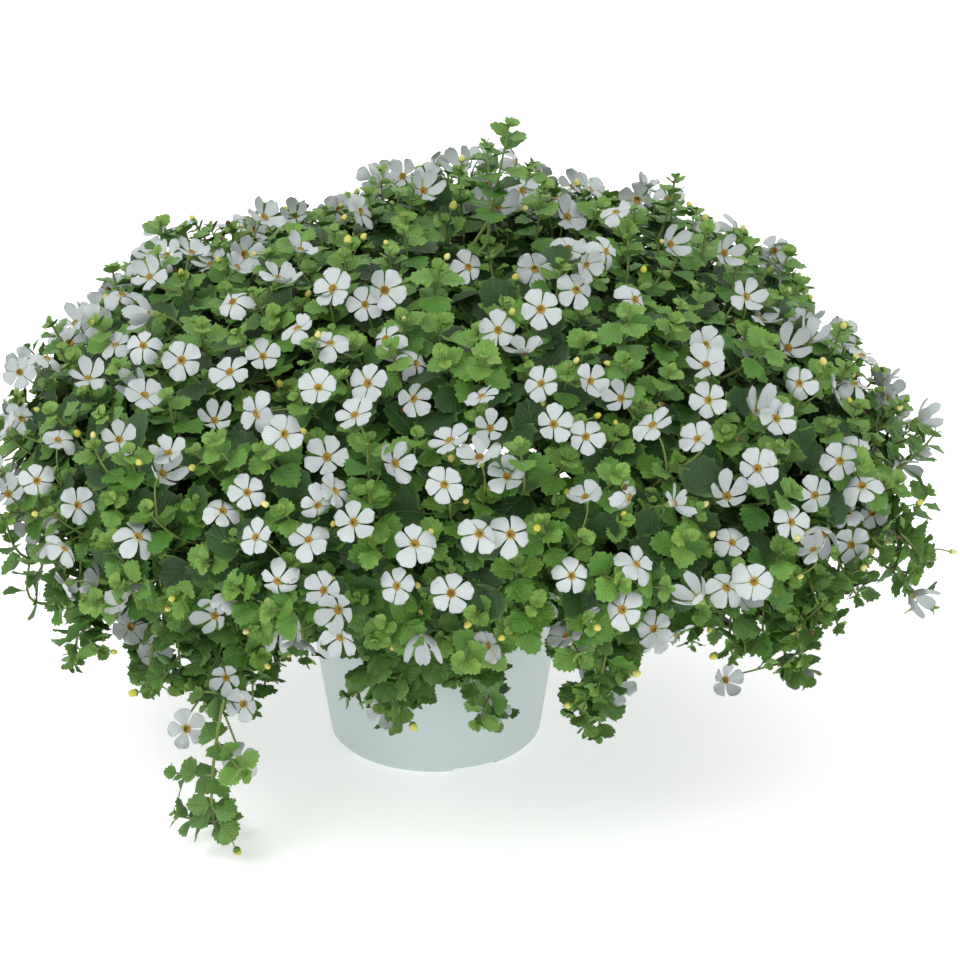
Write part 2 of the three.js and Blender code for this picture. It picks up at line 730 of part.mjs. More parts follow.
// Two opposite leaves on a stem that runs along the given direction.
function leafPair(at, along, turn, size) {
  const { x, y } = sidesOf(along);
  const put = (right, forward, lift) => {
    const point = at.clone().addScaledVector(x, right).addScaledVector(y, forward).addScaledVector(along, lift);
    point.z = Math.max(point.z, SURFACE_CLEARANCE);
    return point;
  };
  const leaves = [turn, turn + Math.PI].map((angle) => ({
    angle,
    length: size * TRAIL_LEAF_LENGTH,
    width: size * TRAIL_LEAF_WIDTH,
    rise: 5,
    curl: 3,
    roll: 0,
  }));
  return rosette(put, leaves, -PAIR_DEPTH, false);
}

// Builders, one for each sub-part

function latheSolid(profile) {
  const points = profile.map(([radius, z]) => new THREE.Vector2(radius, z));
  const geometry = new THREE.LatheGeometry(points, POT_SIDES);
  geometry.rotateX(Math.PI / 2);
  return solidOf(geometry);
}

function potRadius(z) {
  return POT_BASE_RADIUS + POT_WALL_SLOPE * z;
}

function buildPot() {
  const lipBottom = POT_HEIGHT - LIP_HEIGHT;
  const body = latheSolid([
    [0, 0],
    [PAD_RADIUS, 0],
    [PAD_RADIUS, FOOT_HEIGHT],
    [FOOT_INNER_RADIUS, FOOT_HEIGHT],
    [FOOT_INNER_RADIUS, 0],
    [FOOT_OUTER_RADIUS, 0],
    [potRadius(FOOT_HEIGHT), FOOT_HEIGHT],
    [potRadius(lipBottom), lipBottom],
    [potRadius(lipBottom) + LIP_WIDTH, lipBottom + 1],
    [potRadius(POT_HEIGHT) + LIP_WIDTH, POT_HEIGHT],
    [potRadius(POT_HEIGHT) - POT_WALL, POT_HEIGHT],
    [potRadius(POT_FLOOR_TOP) - POT_WALL, POT_FLOOR_TOP],
    [0, POT_FLOOR_TOP],
  ]);
  let pot = body;
  for (let i = 0; i < NOTCH_COUNT; i++) {
    const angle = radians(NOTCH_AZIMUTH - 90 + (360 * i) / NOTCH_COUNT);
    const notch = new THREE.BoxGeometry(20, NOTCH_WIDTH, 2 * FOOT_HEIGHT);
    notch.translate(FOOT_OUTER_RADIUS, 0, 0).rotateZ(angle);
    pot = pot.subtract(solidOf(notch));
    const drain = new THREE.CylinderGeometry(DRAIN_RADIUS, DRAIN_RADIUS, 3 * POT_FLOOR_TOP, 6);
    drain.rotateX(Math.PI / 2).translate(DRAIN_CIRCLE, 0, 0).rotateZ(angle);
    pot = pot.subtract(solidOf(drain));
  }
  return pot;
}

function buildSoil(roots) {
  const inner = (z) => potRadius(z) - POT_WALL - SOIL_GAP;
  const bottom = POT_FLOOR_TOP + SOIL_GAP;
  let soil = latheSolid([[0, bottom], [inner(bottom), bottom], [inner(SOIL_TOP), SOIL_TOP], [0, SOIL_TOP]]);
  for (const root of roots) {
    const outward = Math.hypot(root.x, root.y);
    const hole = new THREE.CylinderGeometry(HOLE_RADIUS, HOLE_RADIUS, 2 * HOLE_DEPTH, 4);
    hole.rotateX(Math.PI / 2).rotateZ(Math.PI / 4).translate(outward + HOLE_SHIFT, 0, SOIL_TOP);
    hole.rotateZ(Math.atan2(root.y, root.x));
    soil = soil.subtract(solidOf(hole));
  }
  return soil;
}

function buildMoundStems(roots) {
  const draw = seeded(37);
  const rosettes = placeRosettes();
  const heads = rosettes.map(() => []);
  for (const head of placeFlowers()) heads[nearestRosette(head, rosettes).number].push(head);
  const sprigs = [
    ...FRONT_SPRIGS.map((shoot) => ({ ...shoot, direction: directionSeenAt(shoot.column, shoot.row) })),
    ...BACK_SPRIGS.map((shoot) => ({ ...shoot, direction: directionAt(shoot.azimuth, shoot.latitude) })),
  ];
  const meshes = [];
  for (let i = 0; i < rosettes.length; i += 2) {
    const pair = [rosettes[i], rosettes[i + 1]];
    const core = innerFoliage(pair, rosettes);
    const stem = moundStem(pair, core.hearts[0].clone().lerp(core.hearts[1], STEM_PLACE));
    roots.push(stem.root);
    const pieces = [core.solid, stem.solid];
    for (const [side, own] of pair.entries()) {
      const turn = clearTurn(own, heads[own.number]);
      pieces.push(mainRosette(own, turn, rosettes, heads[own.number], draw));
      for (const head of heads[own.number]) {
        pieces.push(moundFlower(head, own, turn, core.solid, core.hearts[side], draw));
      }
      for (const shoot of sprigs) {
        const nearest = nearestRosette(onMound(shoot.direction, HUB_HEIGHT), rosettes);
        if (nearest === own) pieces.push(...sprig(own, shoot.height, shoot.pairs));
      }
    }
    const number = String(i / 2 + 1).padStart(2, "0");
    meshes.push(meshOf(joined(pieces), "leafy_stem_" + number, LEAF_FINISH));
  }
  return meshes;
}

function buildTrail(trail, number, roots) {
  const outward = new THREE.Vector3(Math.cos(radians(trail.azimuth)), Math.sin(radians(trail.azimuth)), 0);
  const points = [
    outward.clone().multiplyScalar(TRAIL_ROOT_RADIUS).setZ(ROOT_Z),
    outward.clone().multiplyScalar(TRAIL_ROOT_RADIUS + 1).setZ(POT_HEIGHT),
    outward.clone().multiplyScalar(TRAIL_RIM_RADIUS).setZ(TRAIL_RIM_Z),
    ...trail.way.map(([x, y, z]) => new THREE.Vector3(x, y, z)),
  ];
  const curve = new THREE.CatmullRomCurve3(points);
  roots.push(points[0]);
  const pieces = [stemAlong(curve, TRAIL_STEM_RADIUS, TRAIL_STEPS)];
  for (let fromTip = 0; fromTip < trail.pairs; fromTip++) {
    const t = 1 - fromTip / TRAIL_STEPS;
    const at = curve.getPointAt(t);
    const along = curve.getTangentAt(t);
    const turn = (fromTip * Math.PI) / 2;
    pieces.push(leafPair(at, along, turn, 0.9 + 0.04 * fromTip));
    if (!trail.flowers.includes(fromTip)) continue;
    const { x, y } = sidesOf(along);
    const axil = x.multiplyScalar(-Math.sin(turn)).addScaledVector(y, Math.cos(turn));
    if (axil.dot(at.clone().setZ(at.length())) < 0) axil.negate();
    const centre = at.clone().addScaledVector(axil, TRAIL_FLOWER_REACH);
    pieces.push(flower(centre, axil, at, fromTip));
  }
  return meshOf(joined(pieces), "trailing_stem_" + String(number).padStart(2, "0"), TRAIL_FINISH);
}

const roots = [];
const plant = new THREE.Group();
plant.add(...buildMoundStems(roots));
plant.add(...TRAILS.map((trail, i) => buildTrail(trail, i + 1, roots)));

const pottedBacopa = new THREE.Group();
pottedBacopa.add(meshOf(buildPot(), "pot", POT_FINISH));
pottedBacopa.add(meshOf(buildSoil(roots), "soil", SOIL_FINISH));
pottedBacopa.add(plant);

export default pottedBacopa;
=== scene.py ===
import json
import math
import random

import bmesh
import bpy
from mathutils import Matrix, Vector, noise
from mathutils.geometry import tessellate_polygon

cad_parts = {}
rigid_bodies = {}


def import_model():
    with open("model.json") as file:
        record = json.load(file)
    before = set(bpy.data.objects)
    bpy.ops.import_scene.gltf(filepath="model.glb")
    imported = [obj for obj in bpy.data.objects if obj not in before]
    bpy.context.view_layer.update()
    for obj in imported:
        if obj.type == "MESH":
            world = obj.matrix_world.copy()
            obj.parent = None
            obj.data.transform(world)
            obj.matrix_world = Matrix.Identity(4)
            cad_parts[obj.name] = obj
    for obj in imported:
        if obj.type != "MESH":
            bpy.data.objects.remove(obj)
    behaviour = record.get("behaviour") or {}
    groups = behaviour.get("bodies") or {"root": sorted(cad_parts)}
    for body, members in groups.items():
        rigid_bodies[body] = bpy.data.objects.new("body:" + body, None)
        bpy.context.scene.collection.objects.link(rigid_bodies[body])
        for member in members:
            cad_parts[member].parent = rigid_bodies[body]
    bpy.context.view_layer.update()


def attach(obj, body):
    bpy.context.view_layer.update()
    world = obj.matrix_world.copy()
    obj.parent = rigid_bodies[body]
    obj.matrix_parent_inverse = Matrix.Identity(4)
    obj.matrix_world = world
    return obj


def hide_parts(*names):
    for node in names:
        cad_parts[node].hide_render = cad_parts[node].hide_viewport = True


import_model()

# A potted bacopa. Sizes are in metres, +Z is up, the pot stands on the floor at the origin and
# the viewer is on the -Y side.

# The viewpoint of the photograph, 960 by 960
EYE = Vector((0.0218, -1.345, 0.6753))
EYE_TILT = 22
EYE_FOCAL = 3030
PICTURE_SIDE = 960
SENSOR = 36
FLOOR_HALF = 8

# The pot and the soil, as in the solids
POT_HEIGHT = 0.1
POT_BASE_RADIUS = 0.051
POT_WALL_SLOPE = 0.15
POT_WALL = 0.0018
POT_FLOOR_TOP = 0.006
FOOT_HEIGHT = 0.003
FOOT_INNER_RADIUS = 0.044
FOOT_OUTER_RADIUS = 0.0485
PAD_RADIUS = 0.017
LIP_HEIGHT = 0.006
LIP_WIDTH = 0.0026
NOTCH_COUNT = 4
NOTCH_WIDTH = 0.023
NOTCH_DEPTH = 0.02
NOTCH_AZIMUTH = 23
DRAIN_RADIUS = 0.005
DRAIN_CIRCLE = 0.03
DRAIN_SIDES = 32
POT_SEGMENTS = 144
ROUNDING_STEPS = 4
SOIL_TOP = 0.086
SOIL_GAP = 0.0005
SOIL_RINGS = 26
SOIL_SECTORS = 72
# Height and scale of the soil's coarse and fine lumps
SOIL_LUMPS = ((0.0035, 160), (0.0022, 420))
ROOT_Z = 0.082

# The mound of foliage, as in the solids
MOUND_CENTRE = Vector((0.008, 0, 0.156))
MOUND_HALF_X = 0.214
MOUND_HALF_Y = 0.198
MOUND_RISE = 0.115
MOUND_DROP = 0.06
BUMP_HEIGHT = 0.005
# Rings of stems: latitude, number of stems, distance of their roots from the pot's middle
RINGS = ((80, 2, 0.006), (60, 4, 0.015), (40, 6, 0.024), (14, 8, 0.032), (-26, 8, 0.04))
RING_PHASE = 17
SITE_JITTER = 0.0035
RING_ZIGZAG = 0.011
HUB_HEIGHT = -0.008
STEM_END_HEIGHT = -0.034
MAIN_STEM_STEPS = 12

# Leaves and flowers at their real size, and the shoots of the mound
LEAF_LENGTH = 0.0144
LEAF_THICKNESS = 0.00035
FLOWER_RADIUS = 0.0096
FLOWER_HEIGHT = 0.008
SHOOT_SPACING = 0.0165
SHOOT_LENGTH = 0.045

# Flower heads on the mound that the photograph shows, by column and row
FLOWERS_SEEN = (
    (301, 248), (245, 254), (238, 266), (232, 301), (149, 276), (148, 313), (159, 231), (176, 229),
    (265, 216), (192, 251), (468, 267), (332, 288), (385, 290), (365, 304), (379, 180), (424, 190),
    (488, 185), (523, 190), (486, 157), (498, 206), (568, 216), (616, 211), (607, 251), (576, 290),
    (587, 265), (541, 309), (636, 299), (671, 244), (705, 221), (725, 253), (747, 296), (775, 265),
    (182, 360), (229, 371), (263, 356), (297, 327), (58, 439), (119, 439), (168, 452), (163, 473),
    (143, 345), (145, 394), (88, 377), (47, 357), (78, 505), (139, 536), (285, 434), (247, 492),
    (223, 510), (255, 537), (318, 506), (277, 582), (64, 549), (63, 586), (37, 481), (318, 387),
    (255, 414), (308, 539), (330, 342), (385, 338), (417, 363), (367, 383), (354, 414), (498, 330),
    (524, 349), (481, 395), (449, 439), (490, 428), (479, 456), (507, 476), (444, 485), (541, 383),
    (591, 381), (621, 398), (554, 424), (586, 437), (336, 490), (354, 522), (415, 543), (479, 534),
    (511, 534), (451, 593), (396, 586), (338, 610), (323, 590), (572, 576), (630, 498), (585, 496),
    (706, 364), (706, 345), (799, 383), (697, 438), (708, 400), (758, 411), (777, 418), (922, 418),
    (758, 468), (840, 461), (862, 485), (901, 468), (872, 513), (792, 522), (813, 549), (697, 597),
    (726, 588), (754, 582), (652, 424),
)
# Flowers on the hanging shoots: column, row and distance in front of the pot's middle
FLOWERS_HANGING = (
    (286, 633, 0.14), (131, 627, 0.1), (155, 648, 0.1), (226, 678, 0.15), (243, 704, 0.15),
    (238, 761, 0.135), (187, 729, 0.13), (384, 710, 0.09), (495, 708, 0.092), (593, 674, 0.105),
    (617, 684, 0.11), (658, 636, 0.13), (726, 680, 0.1), (791, 671, 0.08), (915, 596, 0.06),
)
# Tips of shoots that stand out of the mound's outline: column, row and distance in front
TIPS_SEEN = (
    (510, 122, 0.03), (486, 143, 0.03), (530, 172, -0.02), (378, 172, -0.04), (424, 168, -0.04),
    (675, 178, -0.02), (790, 252, -0.02), (744, 236, -0.03), (846, 328, 0.01), (50, 322, 0.02),
    (112, 268, 0.0), (160, 222, -0.02), (262, 208, -0.03), (300, 207, -0.04), (8, 430, 0.04),
    (6, 520, 0.04), (30, 560, 0.05), (936, 432, 0.04), (905, 402, 0.03), (930, 490, 0.04),
)
FLOWERS_HIDDEN_SPACING = 0.027
FLOWERS_BETWEEN_SPACING = 0.0195
FLOWERS_BETWEEN = 60
# The foliage's outline in the photograph, by column and row: its top and its hanging edge
OUTLINE_TOP = (
    (0, 428), (24, 340), (70, 328), (100, 300), (130, 254), (160, 220), (250, 210), (310, 204),
    (340, 194), (370, 172), (460, 160), (490, 128), (520, 128), (550, 172), (640, 186), (670, 174),
    (700, 208), (790, 252), (820, 318), (850, 322), (880, 360), (910, 398), (940, 418), (960, 424),
)
OUTLINE_FOOT = (
    (0, 520), (20, 560), (44, 590), (70, 674), (100, 650), (130, 678), (160, 716), (190, 770),
    (280, 722), (310, 668), (350, 664), (372, 712), (398, 740), (452, 706), (484, 730), (504, 650),
    (530, 622), (556, 632), (580, 744), (606, 736), (640, 686), (670, 644), (700, 662), (730, 686),
    (760, 670), (790, 688), (820, 684), (850, 660), (880, 622), (910, 610), (940, 628), (960, 620),
)
OUTLINE_MARGIN = 9
OUTLINE_STEP = 0.004
LOWEST_HEIGHT = -0.045
# The shoots along the hanging edge: their spacing in columns, how far in front of the pot's middle
# the edge is, and how much wider than the plant its curve is
FRINGE_STEP = 19
FRINGE_REACH = 0.135
FRINGE_HALF_WIDTH = 520
FRINGE_RISES = (12, 24, 40, 58)

# Trailing stems: azimuth where they cross the rim, then their way to the tip
TRAIL_ROOT_RADIUS = 0.05
TRAIL_RIM_RADIUS = 0.066
TRAIL_RIM_Z = 0.11
TRAILS = (
    (-124, ((-0.07, -0.112, 0.114), (-0.088, -0.148, 0.096), (-0.097, -0.147, 0.05),
            (-0.099, -0.126, 0.014), (-0.099, -0.104, 0.004))),
    (-103, ((-0.022, -0.084, 0.101), (-0.024, -0.088, 0.072), (-0.018, -0.084, 0.042))),
    (-75, ((0.026, -0.086, 0.1), (0.03, -0.088, 0.07), (0.029, -0.084, 0.044))),
    (-54, ((0.064, -0.092, 0.11), (0.076, -0.112, 0.088), (0.076, -0.108, 0.05))),
    (-26, ((0.12, -0.062, 0.113), (0.16, -0.082, 0.098), (0.172, -0.086, 0.066))),
    (13, ((0.14, -0.004, 0.114), (0.198, -0.03, 0.11), (0.234, -0.05, 0.088))),
    (195, ((-0.12, -0.04, 0.114), (-0.158, -0.062, 0.1), (-0.168, -0.07, 0.066))),
    (217, ((-0.094, -0.076, 0.114), (-0.122, -0.098, 0.1), (-0.13, -0.102, 0.072))),
    (153, ((-0.118, 0.062, 0.113), (-0.156, 0.084, 0.096), (-0.164, 0.088, 0.058))),
    (116, ((-0.054, 0.118, 0.112), (-0.066, 0.15, 0.084), (-0.07, 0.152, 0.03),
           (-0.072, 0.132, 0.005))),
    (52, ((0.084, 0.104, 0.113), (0.108, 0.134, 0.098), (0.112, 0.14, 0.06))),
)

# The plant's parts, by the leafy stems they hold
GROUPS = {
    "crown": range(1, 7),
    "shoulder": range(7, 13),
    "side_a": range(13, 17),
    "side_b": range(17, 21),
    "skirt_a": range(21, 25),
    "skirt_b": range(25, 29),
}

# The colour sockets of a Mix node, which share their names with its other sockets
MIX_FIRST = 6
MIX_SECOND = 7
MIX_RESULT = 2

# What a face of a leaf or a bloom belongs to
LEAF_TOP, LEAF_UNDER = 0, 1
PETAL_FRONT, PETAL_BACK, THROAT, CALYX, BUD, DRIED = 0, 1, 2, 3, 4, 5

# A leaf's outline, as shares of its length
STALK_HALF = 0.028
BLADE_START = 0.13
BLADE_HALF = 0.475
PLAIN_EDGE = (0.17, 0.27)
FIRST_TOOTH = 0.36
TEETH_SPAN = 0.52
TOOTH_OUT = 0.045
TOOTH_IN = 0.04
RIB_PLACES = (0.3, 0.68)
# Leaf shapes: teeth on a side, fold along the rib, curl towards the tip and waves of the margin
LEAF_SHAPES = (
    (5, 0.22, 0.16, 0.1),
    (4, 0.1, 0.3, 0.16),
    (4, 0.34, 0.05, 0.08),
    (3, 0.16, 0.22, 0.0),
)
LEAF_FINE = range(3)
LEAF_PLAIN = 3

# A petal's rows from the throat outwards: share of the way out and half its width, as a share of
# the flower's radius
PETAL_ROWS = ((0, 0.105), (0.3, 0.24), (0.56, 0.37), (0.78, 0.42), (0.93, 0.35), (1, 0.19))
PETAL_COLUMNS = (-1, -0.6, 0, 0.6, 1)
PETAL_START = 0.0015
PETAL_THICKNESS = 0.0003
PETAL_TIP_ROUNDING = 0.08
PETAL_DIP = 0.0011
PETAL_WAVE = 0.0006
THROAT_RADIUS = 0.00155
THROAT_SIDES = 7
TUBE_LENGTH = 0.006
# Flowers: size and lift of each of the five petals, then how they twist and how wide they are
FLOWER_SHAPES = (
    ((1, 0.97, 0.88, 0.92, 0.98), (0.1, 0.05, 0.15, 0.1, 0.0), 0.1, 1.06),
    ((0.98, 0.9, 0.96, 1, 0.9), (-0.2, -0.1, 0.1, 0.0, -0.25), -0.16, 1.0),
    ((0.93, 1, 0.86, 0.88, 1), (0.35, 0.2, 0.45, 0.5, 0.2), 0.2, 0.98),
    ((1, 0.94, 1, 0.84, 0.88), (-0.5, -0.3, -0.4, 0.1, 0.2), 0.08, 1.08),
    ((0.96, 1, 0.9, 0.82, 0.94), (0.1, -0.1, 0.7, 0.9, 0.3), 0.3, 1.0),
    ((0.9, 0.86, 0.94, 0.9, 0.84), (0.9, 1.1, 0.8, 1.2, 1.0), 0.1, 0.9),
    ((0.9, 0.97, 0.84, 0.95, 0.9), (-0.8, -0.6, -0.2, -0.5, -0.9), -0.2, 1.0),
)
# Buds: length, share of it inside the calyx, what stands in the calyx, and how often each is used
BUD_SHAPES = ((0.0036, 0.3, BUD), (0.0048, 0.35, BUD), (0.0042, 0.3, BUD), (0.0034, 0.5, DRIED))
BUD_SHARES = (3, 3, 3, 1)
BUD_SIDES = 6
BUD_GIRTH = 0.36

# Stems and stalks: radius at the root and at the tip
MAIN_STEM = (0.0019, 0.0013)
BRANCH = (0.0012, 0.0009)
TRAIL = (0.0012, 0.0007)
HANGING_STEM = (0.001, 0.0006)
SHOOT = (0.0009, 0.0005)
SIDE_SHOOT = (0.0007, 0.0005)
FLOWER_STALK = (0.00055, 0.00042)
BUD_STALK = (0.0004, 0.00034)
STEM_SIDES = 4

# The leaf pairs of a shoot from its tip down: how far below the tip, size and opening in degrees
PAIRS_BELOW_TIP = (0.0004, 0.003, 0.0078, 0.0145, 0.0225, 0.0315)
PAIR_SIZES = (0.3, 0.52, 0.78, 0.98, 1.04, 1.0)
PAIR_OPENING = (36, 54, 66, 76, 82, 86)
OPENING_SPREAD = 14
PAIR_SPACING = 0.0105
TURN_SPREAD = 0.3
GROWN_UP_BELOW = 0.035
LEAF_SIZES = (0.84, 1.16)
LEAF_TO_LIGHT = 0.45
LEAF_BY_CHANCE = 0.35
BLADE_BY_CHANCE = 0.12
# Near the floor leaves lie flat and point up a little: where, as a share of their length, and how
FLOOR_MARGIN = 1.15
LEAST_RISE = 0.3
FLAT_BY_CHANCE = 0.1
FLOOR_CLEARANCE = 0.0045

# The mound's hollows and tufts: height, scale and shift of each noise
RELIEF = ((0.013, 5.5, Vector((3.1, 0.7, 1.9))), (0.007, 12, Vector((0.4, 5.1, 2.2))))
# The lowest places of shoots, flowers and inner leaves, as the sine of the latitude
UNDERSIDE = -0.74
BETWEEN_LOWEST = -0.9
HIDDEN_LOWEST = -0.62

# Shoots of the mound: tries at placing them, their leaf pairs and their heights over the mound
SHOOT_TRIES = 14000
SHOOT_PAIRS = 5
SHOOT_LEVELS = (-0.007, 0.004)
TALL_CHANCE = 0.16
TALL_RISES = (0.006, 0.015)
BUD_CHANCE = 0.45
BUD_PLACES = (0.001, 0.007)
BUD_STALK_LENGTHS = (0.004, 0.009)
BUD_STALK_ARCH = 0.0008
BUD_BY_CHANCE = 0.9
BUD_SIZES = (0.8, 1.15)
# Shares of the outward normal, of up and of chance in the way a tip points, above the mound's
# waist and below it, where it points more down the lower it is
TIP_OUT, TIP_UP = 0.8, 0.5
WAIST_OUT, WAIST_UP, WAIST_DROOP = 0.9, 0.45, 1.1
TIP_BY_CHANCE = 0.42
SEEN_TIP_OUT, SEEN_TIP_UP, SEEN_TIP_BY_CHANCE = 0.5, 0.8, 0.3
SEEN_TIP_PAIRS = 6
# A shoot's base, back along the tip's way and in towards the middle, as shares of its length
BASE_BACK = 0.6
BASE_INWARD = 0.45
# The lowest point on a main stem's way where a branch leaves it
FIRST_BRANCH = 6

# Flowers: shares of the outward normal, up, the viewer's side and chance in the way they look
FLOWER_OUT, FLOWER_UP, FLOWER_TO_VIEWER, FLOWER_BY_CHANCE = 0.5, 0.1, 0.6, 0.75
FLOWER_SIZES = (0.86, 1.08)
FLOWER_SINK = 0.006
# The surface shows in the photograph where it is turned to the viewer by more than this cosine
SEEN_SLANT = 0.12
BETWEEN_TRIES = 4000
BETWEEN_LEVELS = (-0.006, 0.002)
HIDDEN_TRIES = 3000
HIDDEN_LEVELS = (-0.002, 0.005)
STALK_REACH = 0.012
STALK_BELOW_TIP = 0.009
# Shoots under a flower stay this far below it
FLOWER_NEAR = 0.045
FLOWER_CLEARANCE = 0.0085
FLOWER_ROOM = 0.016

# Layers of older leaves inside the mound: depth, spacing and lowest place
INNER_LAYERS = (
    (-0.021, 0.0118, -0.74), (-0.034, 0.0138, -0.9), (-0.05, 0.019, -0.97), (-0.066, 0.023, -0.97),
)
INNER_TRIES = 9000
INNER_SPREAD = 0.005
INNER_SIZES = (1.2, 1.55)
INNER_OUT = 0.35
INNER_BY_CHANCE = 0.5
# How old the inner leaves count, past full age, which darkens them as painted shade of the mound's depth
INNER_AGE_AND_SHADE = 1.25

# The hanging edge: where its shoots leave the mound, how they hang, and their leaf pairs
FRINGE_COLUMNS = (8.0, 950)
FRINGE_STEP_SPREAD = (0.6, 1.4)
FRINGE_FRONT_SPREAD = (-0.025, 0.02)
FRINGE_ROOT_Z = -0.45
FRINGE_ROOT_HEIGHT = -0.022
FRINGE_LEAST_DROP = 0.008
FRINGE_OUT = 0.014
FRINGE_IN = 0.01
FRINGE_FALL = 0.45
FRINGE_LEAST_PAIRS = 3
FRINGE_PAIR_SPACING = 0.016
FRINGE_SIDE_PLACES = (0.016, 0.034)
FRINGE_SIDE_LENGTHS = (0.011, 0.02)
# The same behind, which the photograph doesn't show
BACK_AZIMUTHS = range(10, 175, 8)
BACK_TURN_SPREAD = 3
BACK_LATITUDE = -35
BACK_HEIGHT = -0.012
BACK_DROPS = (0.004, 0.034)

# Trails: leaf pairs and side shoots along them
TRAIL_PAIRS = 4
TRAIL_HIDDEN_LENGTH = 0.055
TRAIL_FIRST_SIDE = 0.028
TRAIL_SIDE_SPACINGS = (0.016, 0.024)
TRAIL_SIDE_LENGTHS = (0.014, 0.028)
TRAIL_LEAF_SIZE = 0.95
TRAIL_LEAF_OPENING = 80
TRAIL_LEAF_AGE = 0.6
TRAIL_OUT, TRAIL_ALONG, TRAIL_BY_CHANCE = 0.3, 0.3, 0.5
SIDE_PAIRS = 4
SIDE_LIFT = 0.003
SIDE_BUD_CHANCE = 0.4
HANGING_BY_CHANCE = 0.7
HANGING_BELOW_TIP = 0.006

UP = Vector((0, 0, 1))


# Small helpers

def linked(name, data):
    """A new object with this mesh, lens or lamp, in the scene."""
    made = bpy.data.objects.new(name, data)
    bpy.context.scene.collection.objects.link(made)
    return made


def repeatable(seed):
    """The solids' own random numbers: one seed always gives one plant."""
    state = seed
    while True:
        state = (state * 1664525 + 1013904223) % 2**32
        yield state / 2**32


def any_way(draw):
    """A random direction of length up to one."""
    return Vector((draw.uniform(-1, 1), draw.uniform(-1, 1), draw.uniform(-1, 1)))


def curve_points(corners, count):
    """Points along a Bezier curve with these four corners."""
    a, b, c, d = corners
    points = []
    for i in range(count + 1):
        t = i / count
        s = 1 - t
        points.append(s * s * s * a + 3 * s * s * t * b + 3 * s * t * t * c + t * t * t * d)
    return points


def smooth_way(corners, steps):
    """Points along a smooth curve through all corners."""
    ends = [2 * corners[0] - corners[1], *corners, 2 * corners[-1] - corners[-2]]
    points = [corners[0]]
    for i in range(1, len(ends) - 2):
        p, a, b, n = ends[i - 1:i + 3]
        for k in range(1, steps + 1):
            t = k / steps
            points.append(0.5 * (2 * a + (b - p) * t + (2 * p - 5 * a + 4 * b - n) * t * t
                                 + (3 * a - p - 3 * b + n) * t * t * t))
    return points


def place_on(points, below_tip):
    """The place and the direction of growth on a way, so far below its tip."""
    left = below_tip
    for i in range(len(points) - 1, 0, -1):
        step = points[i] - points[i - 1]
        if step.length >= left or i == 1:
            share = min(left / step.length, 1)
            return points[i] - share * step, step.normalized()
        left -= step.length


def circle(radius, height, count):
    """Points round Z at a height."""
    turns = [2 * math.pi * i / count for i in range(count)]
    return [Vector((radius * math.cos(turn), radius * math.sin(turn), height)) for turn in turns]


def length_of(points):
    """The length of a way."""
    return sum((b - a).length for a, b in zip(points, points[1:]))


# The mound

def mound_axes(upper):
    """Half the mound's sizes along the three axes, above its waist or below it."""
    return Vector((MOUND_HALF_X, MOUND_HALF_Y, MOUND_RISE if upper else MOUND_DROP))


def divided(vector, axes):
    """A vector with each part divided by the axis of that direction."""
    return Vector((vector.x / axes.x, vector.y / axes.y, vector.z / axes.z))


def direction_of(point):
    """The direction from the mound's middle in which a point lies, as if it were a ball."""
    offset = point - MOUND_CENTRE
    return divided(offset, mound_axes(offset.z > 0)).normalized()


def direction_at(azimuth, latitude):
    """The direction at an azimuth and a latitude in degrees."""
    across = math.cos(math.radians(latitude))
    turn = math.radians(azimuth)
    height = math.sin(math.radians(latitude))
    return Vector((across * math.cos(turn), across * math.sin(turn), height))


def mound_normal(direction):
    """The way out of the mound's surface."""
    return divided(direction, mound_axes(direction.z > 0)).normalized()


def bump(direction):
    """The gentle unevenness that the solids' mound has too."""
    return BUMP_HEIGHT * math.sin(9 * direction.x + 1.1) * math.sin(8 * direction.y + 0.6)


def on_mound(direction, height):
    """The place at a height over the mound's surface."""
    surface = direction * mound_axes(direction.z > 0) + MOUND_CENTRE
    return surface + mound_normal(direction) * (height + bump(direction))


def sight_to(column, row):
    """The direction from the eye through a point of the picture."""
    tilt = math.radians(EYE_TILT)
    ahead = Vector((0, math.cos(tilt), -math.sin(tilt)))
    above = Vector((0, math.sin(tilt), math.cos(tilt)))
    middle = PICTURE_SIDE / 2
    return (EYE_FOCAL * ahead + Vector((column - middle, 0, 0)) + (middle - row) * above).normalized()


def seen_on_mound(column, row, height):
    """The point on this line of sight at a height over the mound, or where it passes nearest."""
    sight = sight_to(column, row)
    best = None
    for upper in (False, True):
        axes = mound_axes(upper) + Vector((height, height, height))
        start = divided(EYE - MOUND_CENTRE, axes)
        step = divided(sight, axes)
        a = step.dot(step)
        b = start.dot(step)
        c = start.dot(start) - 1
        reach = (-b - math.sqrt(max(b * b - a * c, 0))) / a
        point = EYE + sight * reach
        if best is None or (point.z > MOUND_CENTRE.z) == upper:
            best = point
    return best


def seen_at_depth(column, row, front):
    """The point on this line of sight so far in front of the pot's middle."""
    sight = sight_to(column, row)
    return EYE + sight * ((-front - EYE.y) / sight.y)


def seen_at(point):
    """The column and row at which a point is seen."""
    tilt = math.radians(EYE_TILT)
    offset = point - EYE
    depth = offset.y * math.cos(tilt) - offset.z * math.sin(tilt)
    rise = offset.y * math.sin(tilt) + offset.z * math.cos(tilt)
    middle = PICTURE_SIDE / 2
    return middle + EYE_FOCAL * offset.x / depth, middle - EYE_FOCAL * rise / depth


def row_on(outline, column):
    """The row of an outline at a column."""
    for (start, first), (end, last) in zip(outline, outline[1:]):
        if column <= end:
            share = max((column - start) / (end - start), 0)
            return first + share * (last - first)
    return outline[-1][1]


